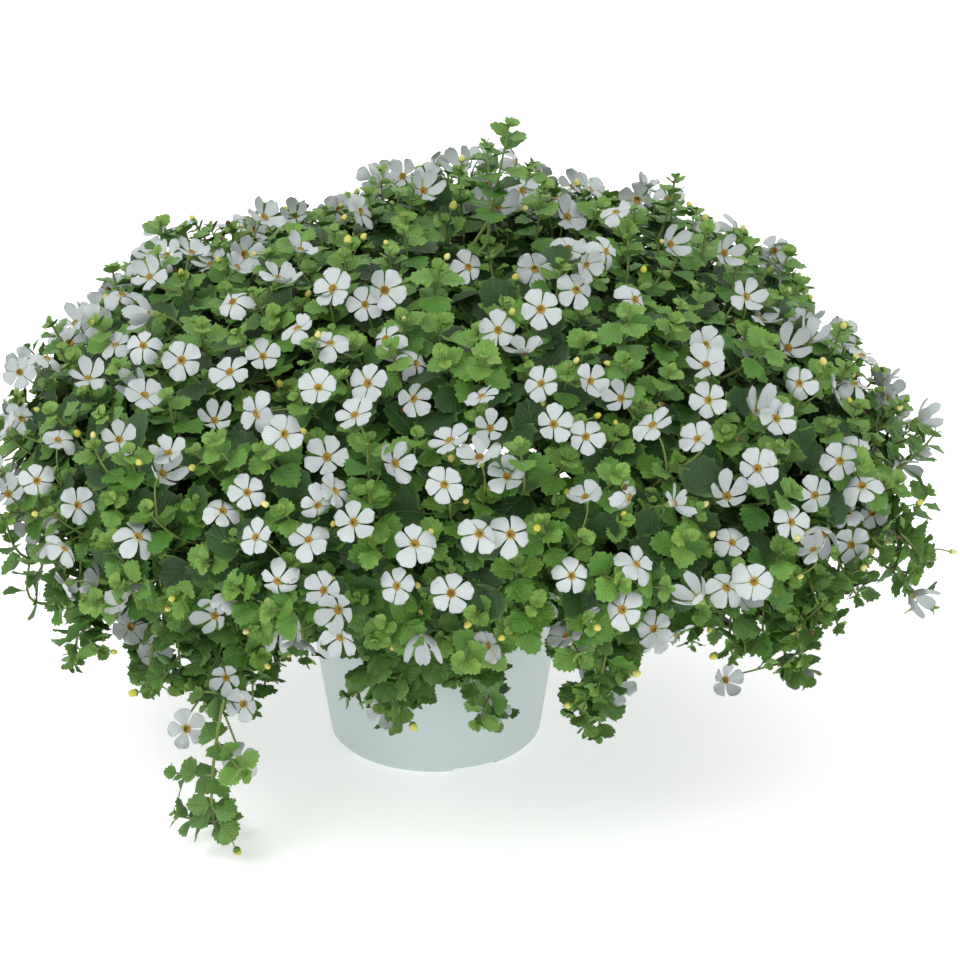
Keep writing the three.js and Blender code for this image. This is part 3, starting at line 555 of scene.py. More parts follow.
def place_hubs():
    """The middles of the solids' leaf rosettes with the number of the stem that carries each."""
    draw = repeatable(11)
    hubs = []
    for number, (latitude, stems, root_radius) in enumerate(RINGS):
        for i in range(2 * stems):
            azimuth = 360 * (i + 0.5) / (2 * stems) + RING_PHASE * number
            direction = direction_at(azimuth, latitude)
            normal = mound_normal(direction)
            east = UP.cross(normal).normalized()
            north = normal.cross(east)
            point = on_mound(direction, 0)
            point += east * SITE_JITTER * (2 * next(draw) - 1)
            zigzag = RING_ZIGZAG if i % 2 else -RING_ZIGZAG
            point += north * (SITE_JITTER * (2 * next(draw) - 1) + zigzag)
            next(draw)
            moved = direction_of(on_mound(direction_of(point), 0))
            hubs.append((on_mound(moved, HUB_HEIGHT), azimuth, root_radius))
    return hubs


def place_main_stems(hubs):
    """The way of each main stem, from its hole in the soil to the foliage it carries."""
    ways = []
    for first, second in zip(hubs[::2], hubs[1::2]):
        root = direction_at((first[1] + second[1]) / 2, 0) * first[2]
        root.z = ROOT_Z
        end = on_mound(direction_of((first[0] + second[0]) / 2), STEM_END_HEIGHT)
        rise = end.z - root.z
        knee = root + UP * 0.5 * rise
        shoulder = root.lerp(end, 0.5)
        shoulder.z = root.z + 0.7 * rise
        ways.append(curve_points((root, knee, shoulder, end), MAIN_STEM_STEPS))
    return ways


# What a group of stems carries

class Cloud:
    """Places for copies of small shapes, each with its turn, size, shape and look."""

    def __init__(self):
        self.copies = []

    def add(self, place, right, ahead, size, shape, tint, age):
        """Puts a copy so that its X axis lies to the right and its Y axis ahead."""
        ahead = ahead.normalized()
        across = (right - ahead * right.dot(ahead)).normalized()
        turn = Matrix((across, ahead, across.cross(ahead))).transposed().to_quaternion()
        self.copies.append((place, turn, size, shape, tint, age))

    def mesh(self, name):
        """The places as a mesh whose attributes hold the rest."""
        places, turns, sizes, shapes, tints, ages_and_shades = map(list, zip(*self.copies))
        made = bpy.data.meshes.new(name)
        made.from_pydata(places, [], [])
        for attribute, kind, values in (
            ("turn", "QUATERNION", [part for turn in turns for part in turn]),
            ("size", "FLOAT", sizes),
            ("shape", "INT", shapes),
            ("tint", "FLOAT", tints),
            ("age", "FLOAT", ages_and_shades),
        ):
            made.attributes.new(attribute, kind, "POINT").data.foreach_set("value", values)
        return made


class Lines:
    """Ways of stems and stalks, with the radius at each point."""

    def __init__(self):
        self.places = []
        self.radii = []
        self.edges = []

    def add(self, points, radii):
        """A line whose radius changes evenly from the first to the second of the radii."""
        thick, thin = radii
        start = len(self.places)
        last = len(points) - 1
        for i, point in enumerate(points):
            self.places.append(point)
            self.radii.append(thick + (thin - thick) * i / last)
            if i:
                self.edges.append((start + i - 1, start + i))

    def mesh(self, name):
        made = bpy.data.meshes.new(name)
        made.from_pydata(self.places, self.edges, [])
        made.attributes.new("thickness", "FLOAT", "POINT").data.foreach_set("value", self.radii)
        return made


class Growth:
    """The leaves, blooms and stems of one group."""

    def __init__(self):
        self.leaves = Cloud()
        self.blooms = Cloud()
        self.stems = Lines()


# Shapes of one leaf and one flower

class Shell:
    """Points and faces of one small closed shape, flat map and a mark on each face."""

    def __init__(self):
        self.points = []
        self.flat = []
        self.faces = []
        self.marks = []

    def point(self, place, flat=(0.5, 0.5)):
        self.points.append(place)
        self.flat.append(flat)
        return len(self.points) - 1

    def face(self, corners, mark):
        self.faces.append(corners)
        self.marks.append(mark)

    def mesh(self, name):
        """The mesh, smooth except where faces of two marks meet."""
        made = bpy.data.meshes.new(name)
        made.from_pydata(self.points, [], self.faces)
        flat_map = made.uv_layers.new(name="flat")
        for loop in made.loops:
            flat_map.data[loop.index].uv = self.flat[loop.vertex_index]
        made.attributes.new("mark", "FLOAT", "FACE").data.foreach_set("value", self.marks)
        made.shade_smooth()
        seen = {}
        for polygon in made.polygons:
            for key in polygon.edge_keys:
                seen.setdefault(key, set()).add(self.marks[polygon.index])
        sharp = [len(seen[edge.key]) > 1 for edge in made.edges]
        made.attributes.new("sharp_edge", "BOOLEAN", "EDGE").data.foreach_set("value", sharp)
        return made


def leaf_half_width(along):
    """Half the width of a leaf at a share of its length, without its teeth."""
    share = max((along - BLADE_START) / (1 - BLADE_START), 0)
    return BLADE_HALF * math.sin(math.pi * share**0.74) ** 0.8


def leaf_edge(teeth):
    """The right edge of a leaf from stalk to tip: a toothed outline that is plain near the stalk."""
    edge = [(STALK_HALF, 0), (STALK_HALF, BLADE_START)]
    edge += [(leaf_half_width(along), along) for along in PLAIN_EDGE]
    for tooth in range(teeth):
        along = FIRST_TOOTH + TEETH_SPAN * tooth / (teeth - 1)
        edge.append((leaf_half_width(along) + TOOTH_OUT, along + 0.035))
        edge.append((leaf_half_width(along + 0.045) - TOOTH_IN, along + 0.05))
    return edge


def make_leaf(name, teeth, fold, curl, wave):
    """A closed thin leaf of length one along Y that faces up."""
    shell = Shell()

    def lifted(across, along):
        ripple = wave * abs(across) * math.sin(14 * along + (2 if across > 0 else 0))
        return fold * abs(across) + ripple - curl * along * along + 0.25 * curl * along

    def point(across, along, drop=0):
        return shell.point((across, along, lifted(across, along) - drop), (0.5 + across, along))

    right = leaf_edge(teeth)
    rim_right = [point(x, y) for x, y in right]
    rim_left = [point(-x, y) for x, y in right]
    tip = point(0, 1)
    base = point(0, 0)
    for mark, drop in ((LEAF_TOP, 0), (LEAF_UNDER, LEAF_THICKNESS / LEAF_LENGTH)):
        rib = [point(0, y, drop) for y in RIB_PLACES]
        for side, rim in ((1, rim_right), (-1, rim_left)):
            ring = [base, *rim, tip, *reversed(rib)]
            corners = [Vector((shell.points[i][0], shell.points[i][1], 0)) for i in ring]
            for triangle in tessellate_polygon([corners]):
                a, b, c = (ring[i] for i in triangle)
                turning = (corners[triangle[1]] - corners[triangle[0]]).cross(
                    corners[triangle[2]] - corners[triangle[0]]).z
                if (turning > 0) != (mark == LEAF_TOP):
                    b, c = c, b
                shell.face((a, b, c), mark)
    return shell.mesh(name)


def add_petal(shell, middle, size, lift, twist, width):
    """One broad lobe that widens from the throat and rounds off at its tip, as a closed thin shell."""
    reach = FLOWER_RADIUS * size

    def place(across, row, drop):
        out, half = PETAL_ROWS[row]
        flat = Vector((PETAL_START + (reach - PETAL_START) * out, across * half * reach, 0))
        if row:
            flat.y *= width
        flat.x -= PETAL_TIP_ROUNDING * reach * across * across * out
        flat.z = lift * out * out * reach + twist * flat.y * out - PETAL_DIP * (1 - out) ** 2
        flat.z += PETAL_WAVE * math.cos(4 * across + 30 * size) * out - drop
        turned = Matrix.Rotation(middle, 3, "Z") @ flat
        return shell.point(turned, (min(flat.xy.length / FLOWER_RADIUS, 1), 0.5 + 0.5 * across))

    rows = len(PETAL_ROWS)
    columns = len(PETAL_COLUMNS)
    sides = {}
    for mark, drop in ((PETAL_FRONT, 0), (PETAL_BACK, PETAL_THICKNESS)):
        for row in range(rows):
            for column, across in enumerate(PETAL_COLUMNS):
                on_rim = row in (0, rows - 1) or column in (0, columns - 1)
                if mark == PETAL_BACK and on_rim:
                    sides[mark, row, column] = sides[PETAL_FRONT, row, column]
                else:
                    sides[mark, row, column] = place(across, row, drop)
        for row in range(rows - 1):
            for column in range(columns - 1):
                corners = [sides[mark, row + r, column + c] for r, c in ((0, 0), (1, 0), (1, 1), (0, 1))]
                shell.face(corners if mark == PETAL_FRONT else corners[::-1], mark)


def add_turned(shell, profile, sides, marks):
    """A closed form turned round Z: radius and height of each ring, from top to bottom."""
    rings = []
    for radius, height in profile:
        if radius == 0:
            rings.append([shell.point(Vector((0, 0, height)), (0, 0.5))])
            continue
        flat = (radius / FLOWER_RADIUS, 0.5)
        rings.append([shell.point(place, flat) for place in circle(radius, height, sides)])
    for upper, lower, mark in zip(rings, rings[1:], marks):
        for i in range(sides):
            j = (i + 1) % sides
            if len(upper) == 1:
                shell.face((upper[0], lower[i], lower[j]), mark)
            elif len(lower) == 1:
                shell.face((upper[i], lower[0], upper[j]), mark)
            else:
                shell.face((upper[i], lower[i], lower[j], upper[j]), mark)


def make_flower(name, sizes, lifts, twist, width):
    """A flower that faces up, with its throat at the origin and its stalk end below."""
    shell = Shell()
    for i, (size, lift) in enumerate(zip(sizes, lifts)):
        add_petal(shell, math.radians(72 * i), size, lift, twist, width)
    tube = (
        (0, -0.0022), (0.0009, -0.0016), (THROAT_RADIUS * 1.15, -0.0002),
        (THROAT_RADIUS * 1.1, -0.0016), (0.0017, -0.0036), (0.0009, -0.0058), (0, -0.0062),
    )
    add_turned(shell, tube, THROAT_SIDES, (THROAT, THROAT, PETAL_BACK, CALYX, CALYX, CALYX))
    return shell.mesh(name)


def make_bud(name, length, green_share, crown):
    """A closed bud that points up, in its calyx, or the dried rest of a flower."""
    shell = Shell()
    radius = BUD_GIRTH * length
    collar = length * green_share
    profile = (
        (0, length), (0.62 * radius, 0.86 * length), (radius, 0.58 * length),
        (0.92 * radius, max(collar, 0.3 * length)), (radius * 1.02, 0.26 * length),
        (0.55 * radius, 0.06 * length), (0, 0),
    )
    add_turned(shell, profile, BUD_SIDES, (crown, crown, crown, CALYX, CALYX, CALYX))
    return shell.mesh(name)


def make_leaf_shapes():
    return [make_leaf(f"leaf_{number}", *given) for number, given in enumerate(LEAF_SHAPES)]


def make_bloom_shapes():
    """Flowers and then buds, named so that their names have the same order."""
    shapes = [make_flower(f"bloom_{number:x}", *given) for number, given in enumerate(FLOWER_SHAPES)]
    for number, given in enumerate(BUD_SHAPES, len(FLOWER_SHAPES)):
        shapes.append(make_bud(f"bloom_{number:x}", *given))
    return shapes


# Growing the plant

def add_pair(growth, at, along, turn, size, opening, draw, age, shapes):
    """Two opposite leaves on a stem, their faces turned to its tip and to the light."""
    side = along.cross(UP if abs(along.z) < 0.9 else Vector((1, 0, 0))).normalized()
    across = Matrix.Rotation(turn, 3, along) @ side
    for way in (across, -across):
        tilt = math.radians(opening + draw.uniform(-OPENING_SPREAD, OPENING_SPREAD))
        blade = way * math.sin(tilt) + along * math.cos(tilt) + BLADE_BY_CHANCE * any_way(draw)
        blade.normalize()
        face = along * math.sin(tilt) - way * math.cos(tilt)
        face += LEAF_TO_LIGHT * UP + LEAF_BY_CHANCE * any_way(draw)
        own_size = LEAF_LENGTH * size * draw.uniform(*LEAF_SIZES)
        if at.z < FLOOR_MARGIN * own_size:
            blade.z = max(blade.z, LEAST_RISE)
            face = UP + FLAT_BY_CHANCE * any_way(draw)
        right = blade.cross(face)
        growth.leaves.add(at, right, blade, own_size, draw.choice(shapes), draw.random(), age)


def grow_shoot(growth, way, draw, pairs):
    """The leaf pairs of one shoot from its tip down, each a quarter turn from the last."""
    spin = draw.uniform(0, math.pi)
    length = length_of(way)
    for number in range(pairs):
        step = min(number, len(PAIR_SIZES) - 1)
        below = PAIRS_BELOW_TIP[step] + PAIR_SPACING * (number - step)
        if below > length:
            break
        at, along = place_on(way, below)
        age = min(below / GROWN_UP_BELOW, 1)
        turn = spin + number * math.pi / 2 + draw.uniform(-TURN_SPREAD, TURN_SPREAD)
        shapes = LEAF_FINE if number else (LEAF_PLAIN,)
        add_pair(growth, at, along, turn, PAIR_SIZES[step], PAIR_OPENING[step], draw, age, shapes)


def square_to(way, draw):
    """A random direction square to a way."""
    return way.cross(any_way(draw) + Vector((0, 0, 0.01)))


def add_flower(growth, centre, facing, stalk_from, draw):
    """A flower and its stalk, which bends into the flower from below."""
    shape = draw.randrange(len(FLOWER_SHAPES))
    right = square_to(facing, draw)
    ahead = facing.cross(right)
    size = draw.uniform(*FLOWER_SIZES)
    growth.blooms.add(centre, right, ahead, size, shape, draw.random(), draw.random())
    back = centre - facing.normalized() * TUBE_LENGTH * size
    knee = back - facing.normalized() * 0.3 * (back - stalk_from).length
    stalk = curve_points((stalk_from, stalk_from.lerp(knee, 0.5), knee, back), 4)
    growth.stems.add(stalk, FLOWER_STALK)


def add_bud(growth, at, along, draw):
    """A bud on a short stalk from a leaf's axil."""
    out = (along + BUD_BY_CHANCE * any_way(draw)).normalized()
    foot = at + out * draw.uniform(*BUD_STALK_LENGTHS)
    right = square_to(out, draw)
    shape = len(FLOWER_SHAPES) + draw.choices(range(len(BUD_SHAPES)), BUD_SHARES)[0]
    size = draw.uniform(*BUD_SIZES)
    growth.blooms.add(foot, right, out.cross(right), size, shape, draw.random(), draw.random())
    growth.stems.add([at, at.lerp(foot, 0.5) + BUD_STALK_ARCH * UP, foot], BUD_STALK)


def relief(direction):
    """Deeper hollows and higher tufts over the whole mound."""
    return sum(height * noise.noise(direction * scale + shift) for height, scale, shift in RELIEF)


def within_outline(direction, height):
    """The height, lowered until the place is seen inside the outline of the photographed plant."""
    lowered = height
    while lowered > LOWEST_HEIGHT:
        column, row = seen_at(on_mound(direction, lowered))
        top = row_on(OUTLINE_TOP, column) + OUTLINE_MARGIN
        foot = row_on(OUTLINE_FOOT, column) - OUTLINE_MARGIN
        if top < row < foot:
            break
        lowered -= OUTLINE_STEP
    return lowered


def slant_to_viewer(direction):
    """The cosine between the mound's normal and the way to the viewer."""
    return mound_normal(direction).dot((EYE - on_mound(direction, 0)).normalized())


def in_view(direction):
    """Whether the photograph shows this part of the mound."""
    return slant_to_viewer(direction) > SEEN_SLANT


def out_of_view(direction):
    """Whether this part of the mound is hidden in the photograph."""
    return slant_to_viewer(direction) < SEEN_SLANT


def everywhere(direction):
    """Allows every direction."""
    return True


def spread_sites(draw, spacing, tries, lowest, allowed):
    """Directions all over the allowed part of the mound, no two places closer than the spacing."""
    kept = []
    cells = {}
    for _ in range(tries):
        azimuth = draw.uniform(0, 360)
        latitude = math.degrees(math.asin(draw.uniform(lowest, 1)))
        direction = direction_at(azimuth, latitude)
        place = on_mound(direction, 0)
        cell = tuple(math.floor(part / spacing) for part in place)
        around = [(cell[0] + i, cell[1] + j, cell[2] + k)
                  for i in (-1, 0, 1) for j in (-1, 0, 1) for k in (-1, 0, 1)]
        near = (other for key in around for other in cells.get(key, ()))
        if allowed(direction) and all((other - place).length > spacing for other in near):
            cells.setdefault(cell, []).append(place)
            kept.append(direction)
    return kept


def growth_axis(direction, draw):
    """The way a shoot's tip points: up and outwards, and outwards or down at the lower edge."""
    if direction.z > 0:
        axis = TIP_OUT * mound_normal(direction) + TIP_UP * UP
    else:
        level = Vector((direction.x, direction.y, 0)).normalized()
        axis = WAIST_OUT * level + (WAIST_UP + WAIST_DROOP * direction.z) * UP
    return (axis + TIP_BY_CHANCE * any_way(draw)).normalized()


class Plant:
    """The whole plant: its main stems and what each group carries."""

    def __init__(self):
        self.hubs = place_hubs()
        self.ways = place_main_stems(self.hubs)
        self.groups = {name: Growth() for name in (*GROUPS, "trailing")}
        self.tips = []
        for number, way in enumerate(self.ways):
            self.group_of(number).stems.add(way, MAIN_STEM)

    def stem_near(self, place):
        """The number of the main stem that carries a place."""
        nearest = min(range(len(self.hubs)), key=lambda i: (self.hubs[i][0] - place).length_squared)
        return nearest // 2

    def group_of(self, stem):
        """What the group of a main stem carries."""
        for name, members in GROUPS.items():
            if stem + 1 in members:
                return self.groups[name]

    def branch_to(self, stem, base, growth, draw):
        """A side branch from a main stem to the base of a shoot."""
        way = self.ways[stem]
        at = draw.randrange(FIRST_BRANCH, len(way) - 1)
        start = way[at]
        ahead = (way[at + 1] - way[at]).normalized()
        reach = (base - start).length
        corners = (start, start + ahead * 0.4 * reach, base.lerp(start, 0.35), base)
        growth.stems.add(curve_points(corners, 4), BRANCH)

    def shoot(self, tip, axis, draw, pairs):
        """A leafy shoot whose tip is given, on a branch of the nearest main stem."""
        stem = self.stem_near(tip)
        growth = self.group_of(stem)
        middle = tip - axis * 0.5 * SHOOT_LENGTH
        inward = (MOUND_CENTRE - tip).normalized()
        base = tip - axis * BASE_BACK * SHOOT_LENGTH + inward * BASE_INWARD * SHOOT_LENGTH
        way = curve_points((base, base.lerp(middle, 0.6), middle, tip), 7)
        growth.stems.add(way, SHOOT)
        self.branch_to(stem, base, growth, draw)
        grow_shoot(growth, way, draw, pairs)
        self.tips.append((way, growth))
        return way, growth

    def nearest_tip(self, place):
        """The way of the shoot whose tip is nearest, and what its group carries."""
        return min(self.tips, key=lambda entry: (entry[0][-1] - place).length_squared)


def flower_facing(centre, draw):
    """The way a flower looks: outwards, up and to the viewer's side, and anywhere by chance."""
    normal = mound_normal(direction_of(centre))
    viewer = (EYE - centre).normalized()
    facing = FLOWER_OUT * normal + FLOWER_UP * UP + FLOWER_BY_CHANCE * any_way(draw)
    if normal.dot(viewer) > 0:
        facing += FLOWER_TO_VIEWER * viewer
    return facing.normalized()


def plan_flowers():
    """Centre, facing and height of the flowers: those that the photograph shows, glimpses between
    them, and those on the hidden sides."""
    draw = random.Random(5)
    flowers = []

    def add(centre, height):
        flowers.append((centre, flower_facing(centre, draw), height))

    for column, row in FLOWERS_SEEN:
        level = relief(direction_of(seen_on_mound(column, row, 0)))
        height = FLOWER_HEIGHT + level - draw.uniform(0, FLOWER_SINK)
        add(seen_on_mound(column, row, height), height)
    spacing = FLOWERS_BETWEEN_SPACING
    between = spread_sites(draw, spacing, BETWEEN_TRIES, BETWEEN_LOWEST, in_view)
    draw.shuffle(between)
    wanted = len(flowers) + FLOWERS_BETWEEN
    for direction in between:
        height = within_outline(direction, relief(direction)) + draw.uniform(*BETWEEN_LEVELS)
        centre = on_mound(direction, height)
        free = all((centre - other[0]).length > spacing for other in flowers)
        if free and len(flowers) < wanted:
            add(centre, height)
    spacing = FLOWERS_HIDDEN_SPACING
    for direction in spread_sites(draw, spacing, HIDDEN_TRIES, HIDDEN_LOWEST, out_of_view):
        height = within_outline(direction, relief(direction)) + draw.uniform(*HIDDEN_LEVELS)
        add(on_mound(direction, height), height)
    return flowers


def under_flowers(flowers, direction, height):
    """The height of a shoot, lowered where a flower stands over its place."""
    place = on_mound(direction, 0)
    normal = mound_normal(direction)
    for centre, _, level in flowers:
        offset = place - centre
        apart = (offset - normal * offset.dot(normal)).length
        if offset.length < FLOWER_NEAR and apart < FLOWER_CLEARANCE:
            height = min(height, level - FLOWER_ROOM)
    return height


def grow_mound(plant, flowers):
    """Shoots all over the mound, and those that stand out of its outline."""
    draw = random.Random(7)
    for direction in spread_sites(draw, SHOOT_SPACING, SHOOT_TRIES, UNDERSIDE, everywhere):
        height = relief(direction) + draw.uniform(*SHOOT_LEVELS)
        if draw.random() < TALL_CHANCE:
            height += draw.uniform(*TALL_RISES)
        height = within_outline(direction, under_flowers(flowers, direction, height))
        axis = growth_axis(direction, draw)
        way, growth = plant.shoot(on_mound(direction, height), axis, draw, SHOOT_PAIRS)
        if draw.random() < BUD_CHANCE:
            at, along = place_on(way, draw.uniform(*BUD_PLACES))
            add_bud(growth, at, along, draw)
    for column, row, front in TIPS_SEEN:
        tip = seen_at_depth(column, row, front)
        axis = SEEN_TIP_OUT * mound_normal(direction_of(tip)) + SEEN_TIP_UP * UP
        axis += SEEN_TIP_BY_CHANCE * any_way(draw)
        plant.shoot(tip, axis.normalized(), draw, SEEN_TIP_PAIRS)


def grow_inner_leaves(plant):
    """Older leaves below the shoots, which close the view into the mound, darkened as painted shade of
    its depth.
    """
    draw = random.Random(13)
    for depth, spacing, lowest in INNER_LAYERS:
        for direction in spread_sites(draw, spacing, INNER_TRIES, lowest, everywhere):
            level = within_outline(direction, relief(direction))
            at = on_mound(direction, level + depth + draw.uniform(-INNER_SPREAD, INNER_SPREAD))
            growth = plant.group_of(plant.stem_near(at))
            normal = mound_normal(direction)
            blade = (normal.cross(any_way(draw)) + INNER_OUT * normal).normalized()
            face = normal + INNER_OUT * UP + INNER_BY_CHANCE * any_way(draw)
            size = LEAF_LENGTH * draw.uniform(*INNER_SIZES)
            right = blade.cross(face)
            growth.leaves.add(at, right, blade, size, LEAF_PLAIN, draw.random(), INNER_AGE_AND_SHADE)


def grow_flowers(plant, flowers):
    """The planned flowers, each on a stalk from the nearest shoot."""
    draw = random.Random(17)
    for centre, facing, _ in flowers:
        way, growth = plant.nearest_tip(centre - facing * STALK_REACH)
        add_flower(growth, centre, facing, place_on(way, STALK_BELOW_TIP)[0], draw)


def above_floor(point):
    """The point, raised if it is too near the floor."""
    return Vector((point.x, point.y, max(point.z, FLOOR_CLEARANCE)))


def side_shoot(growth, at, out, reach, draw):
    """A short leafy shoot from a hanging stem, that turns up a little at its tip."""
    tip = above_floor(at + out * reach)
    way = curve_points((at, at + out * 0.4 * reach, tip - UP * SIDE_LIFT, tip), 4)
    growth.stems.add(way, SIDE_SHOOT)
    grow_shoot(growth, way, draw, SIDE_PAIRS)
    if draw.random() < SIDE_BUD_CHANCE:
        add_bud(growth, way[-1], out, draw)
    return way


def fringe_front(column):
    """How far in front of the pot's middle the hanging edge is at a column."""
    share = (column - PICTURE_SIDE / 2) / FRINGE_HALF_WIDTH
    return FRINGE_REACH * math.sqrt(1 - share * share)


def hang(plant, tip, draw):
    """A leafy shoot that hangs from the mound's lower edge down to its tip."""
    edge = direction_of(Vector((tip.x, tip.y, MOUND_CENTRE.z)))
    root = Vector((edge.x, edge.y, FRINGE_ROOT_Z)).normalized()
    base = on_mound(root, FRINGE_ROOT_HEIGHT)
    drop = base.z - tip.z
    if drop < FRINGE_LEAST_DROP:
        return
    out = Vector((tip.x, tip.y, 0)).normalized()
    stem = plant.stem_near(base)
    growth = plant.group_of(stem)
    bend = tip - out * FRINGE_IN + UP * FRINGE_FALL * drop
    way = curve_points((base, base + out * FRINGE_OUT, bend, tip), 8)
    growth.stems.add(way, HANGING_STEM)
    plant.branch_to(stem, base, growth, draw)
    length = length_of(way)
    grow_shoot(growth, way, draw, FRINGE_LEAST_PAIRS + round(length / FRINGE_PAIR_SPACING))
    plant.tips.append((way, growth))
    for below in FRINGE_SIDE_PLACES:
        if below < length:
            at, along = place_on(way, below)
            out = (0.4 * along + any_way(draw)).normalized()
            side_shoot(growth, at, out, draw.uniform(*FRINGE_SIDE_LENGTHS), draw)


def grow_fringe(plant):
    """The mound's hanging edge, as deep as it is seen in front and shallower behind."""
    draw = random.Random(23)
    column, last = FRINGE_COLUMNS
    while column < last:
        row = row_on(OUTLINE_FOOT, column) - draw.choice(FRINGE_RISES)
        front = fringe_front(column) + draw.uniform(*FRINGE_FRONT_SPREAD)
        hang(plant, seen_at_depth(column, row, front), draw)
        column += FRINGE_STEP * draw.uniform(*FRINGE_STEP_SPREAD)
    for azimuth in BACK_AZIMUTHS:
        turned = azimuth + draw.uniform(-BACK_TURN_SPREAD, BACK_TURN_SPREAD)
        edge = on_mound(direction_at(turned, BACK_LATITUDE), BACK_HEIGHT)
        hang(plant, edge - UP * draw.uniform(*BACK_DROPS), draw)


def grow_trail(plant, growth, azimuth, way, draw):
    """One stem that trails over the rim, with leaf pairs and side shoots to both sides in turn."""
    outward = direction_at(azimuth, 0)
    corners = [
        outward * TRAIL_ROOT_RADIUS + UP * ROOT_Z,
        outward * (TRAIL_ROOT_RADIUS + 0.001) + UP * POT_HEIGHT,
        outward * TRAIL_RIM_RADIUS + UP * TRAIL_RIM_Z,
        *(Vector(place) for place in way),
    ]
    points = smooth_way(corners, 6)
    growth.stems.add(points, TRAIL)
    grow_shoot(growth, points, draw, TRAIL_PAIRS)
    plant.tips.append((points, growth))
    below = TRAIL_FIRST_SIDE
    side = 1
    while below < length_of(points) - TRAIL_HIDDEN_LENGTH:
        at, along = place_on(points, below)
        across = along.cross(outward if abs(along.dot(outward)) < 0.8 else UP).normalized()
        add_pair(growth, at, along, draw.uniform(0, math.pi), TRAIL_LEAF_SIZE, TRAIL_LEAF_OPENING,
                 draw, TRAIL_LEAF_AGE, LEAF_FINE)
        out = side * across + TRAIL_OUT * outward + TRAIL_ALONG * along
        out = (out + TRAIL_BY_CHANCE * any_way(draw)).normalized()
        shoot = side_shoot(growth, at, out, draw.uniform(*TRAIL_SIDE_LENGTHS), draw)
        plant.tips.append((shoot, growth))
        side = -side
        below += draw.uniform(*TRAIL_SIDE_SPACINGS)


def grow_trails(plant):
    """The trailing stems, and the flowers that hang below the mound."""
    draw = random.Random(19)
    for azimuth, way in TRAILS:
        grow_trail(plant, plant.groups["trailing"], azimuth, way, draw)
    for column, row, front in FLOWERS_HANGING:
        centre = seen_at_depth(column, row, front)
        viewer = (EYE - centre).normalized()
        facing = (viewer + HANGING_BY_CHANCE * any_way(draw)).normalized()
        way, growth = plant.nearest_tip(centre)
        add_flower(growth, centre, facing, place_on(way, HANGING_BELOW_TIP)[0], draw)


# Geometry nodes that repeat the small shapes and thicken the stems

def fill(tree, socket, given):
    """Sets a socket to a constant, or links another node's output to it."""
    if isinstance(given, bpy.types.NodeSocket):
        tree.links.new(given, socket)
    else:
        socket.default_value = given


def add_node(tree, kind, inputs=None, **settings):
    """A new node with these settings, and with its named or numbered inputs filled."""
    node = tree.nodes.new(kind)
    for name, value in settings.items():
        setattr(node, name, value)
    for key, given in (inputs or {}).items():
        fill(tree, node.inputs[key], given)
    return node


def attribute_node(tree, name, data_type):
    """The output of a node that reads an attribute of the points."""
    node = add_node(tree, "GeometryNodeInputNamedAttribute", {"Name": name}, data_type=data_type)
    return node.outputs["Attribute"]


def new_tree(name, inputs):
    """A geometry tree with these inputs and a material, and what it is given."""
    tree = bpy.data.node_groups.new(name, "GeometryNodeTree")
    for label, kind in (*inputs, ("Finish", "Material")):
        tree.interface.new_socket(label, in_out="INPUT", socket_type="NodeSocket" + kind)
    tree.interface.new_socket("Mesh", in_out="OUTPUT", socket_type="NodeSocketGeometry")
    return tree, add_node(tree, "NodeGroupInput").outputs


def end_tree(tree, shown, material):
    """Turns what is shown into a plain mesh with its material, as the tree's result."""
    real = add_node(tree, "GeometryNodeRealizeInstances", {"Geometry": shown})
    finish = add_node(tree, "GeometryNodeSetMaterial", {
        "Geometry": real.outputs["Geometry"], "Material": material})
    add_node(tree, "NodeGroupOutput", {"Mesh": finish.outputs["Geometry"]})


def copies_tree():
    """Copies of the shapes in a collection on points, with a little random change in size."""
    tree, given = new_tree("CopiesOnPoints", (
        ("Points", "Geometry"), ("Shapes", "Collection"), ("Size Spread", "Float"), ("Seed", "Int")))
    shapes = add_node(tree, "GeometryNodeCollectionInfo", {
        "Collection": given["Shapes"], "Separate Children": True, "Reset Children": True})
    smallest = add_node(tree, "ShaderNodeMath", {0: 1, 1: given["Size Spread"]}, operation="SUBTRACT")
    spread = add_node(tree, "FunctionNodeRandomValue", {
        "Min": smallest.outputs[0], "Seed": given["Seed"]})
    scale = add_node(tree, "ShaderNodeMath", {
        0: attribute_node(tree, "size", "FLOAT"), 1: spread.outputs["Value"]}, operation="MULTIPLY")
    copies = add_node(tree, "GeometryNodeInstanceOnPoints", {
        "Points": given["Points"],
        "Instance": shapes.outputs["Instances"],
        "Pick Instance": True,
        "Instance Index": attribute_node(tree, "shape", "INT"),
        "Rotation": attribute_node(tree, "turn", "QUATERNION"),
        "Scale": scale.outputs[0],
    })
    end_tree(tree, copies.outputs["Instances"], given["Finish"])
    return tree


def stems_tree():
    """Round stems along lines, each as thick as its points say."""
    tree, given = new_tree("StemsAlongLines", (("Lines", "Geometry"), ("Sides", "Int")))
    curves = add_node(tree, "GeometryNodeMeshToCurve", {"Mesh": given["Lines"]})
    section = add_node(tree, "GeometryNodeCurvePrimitiveCircle", {
        "Resolution": given["Sides"], "Radius": 1})
    tubes = add_node(tree, "GeometryNodeCurveToMesh", {
        "Curve": curves.outputs["Curve"],
        "Profile Curve": section.outputs["Curve"],
        "Scale": attribute_node(tree, "thickness", "FLOAT"),
        "Fill Caps": True,
    })
    end_tree(tree, tubes.outputs["Mesh"], given["Finish"])
    return tree


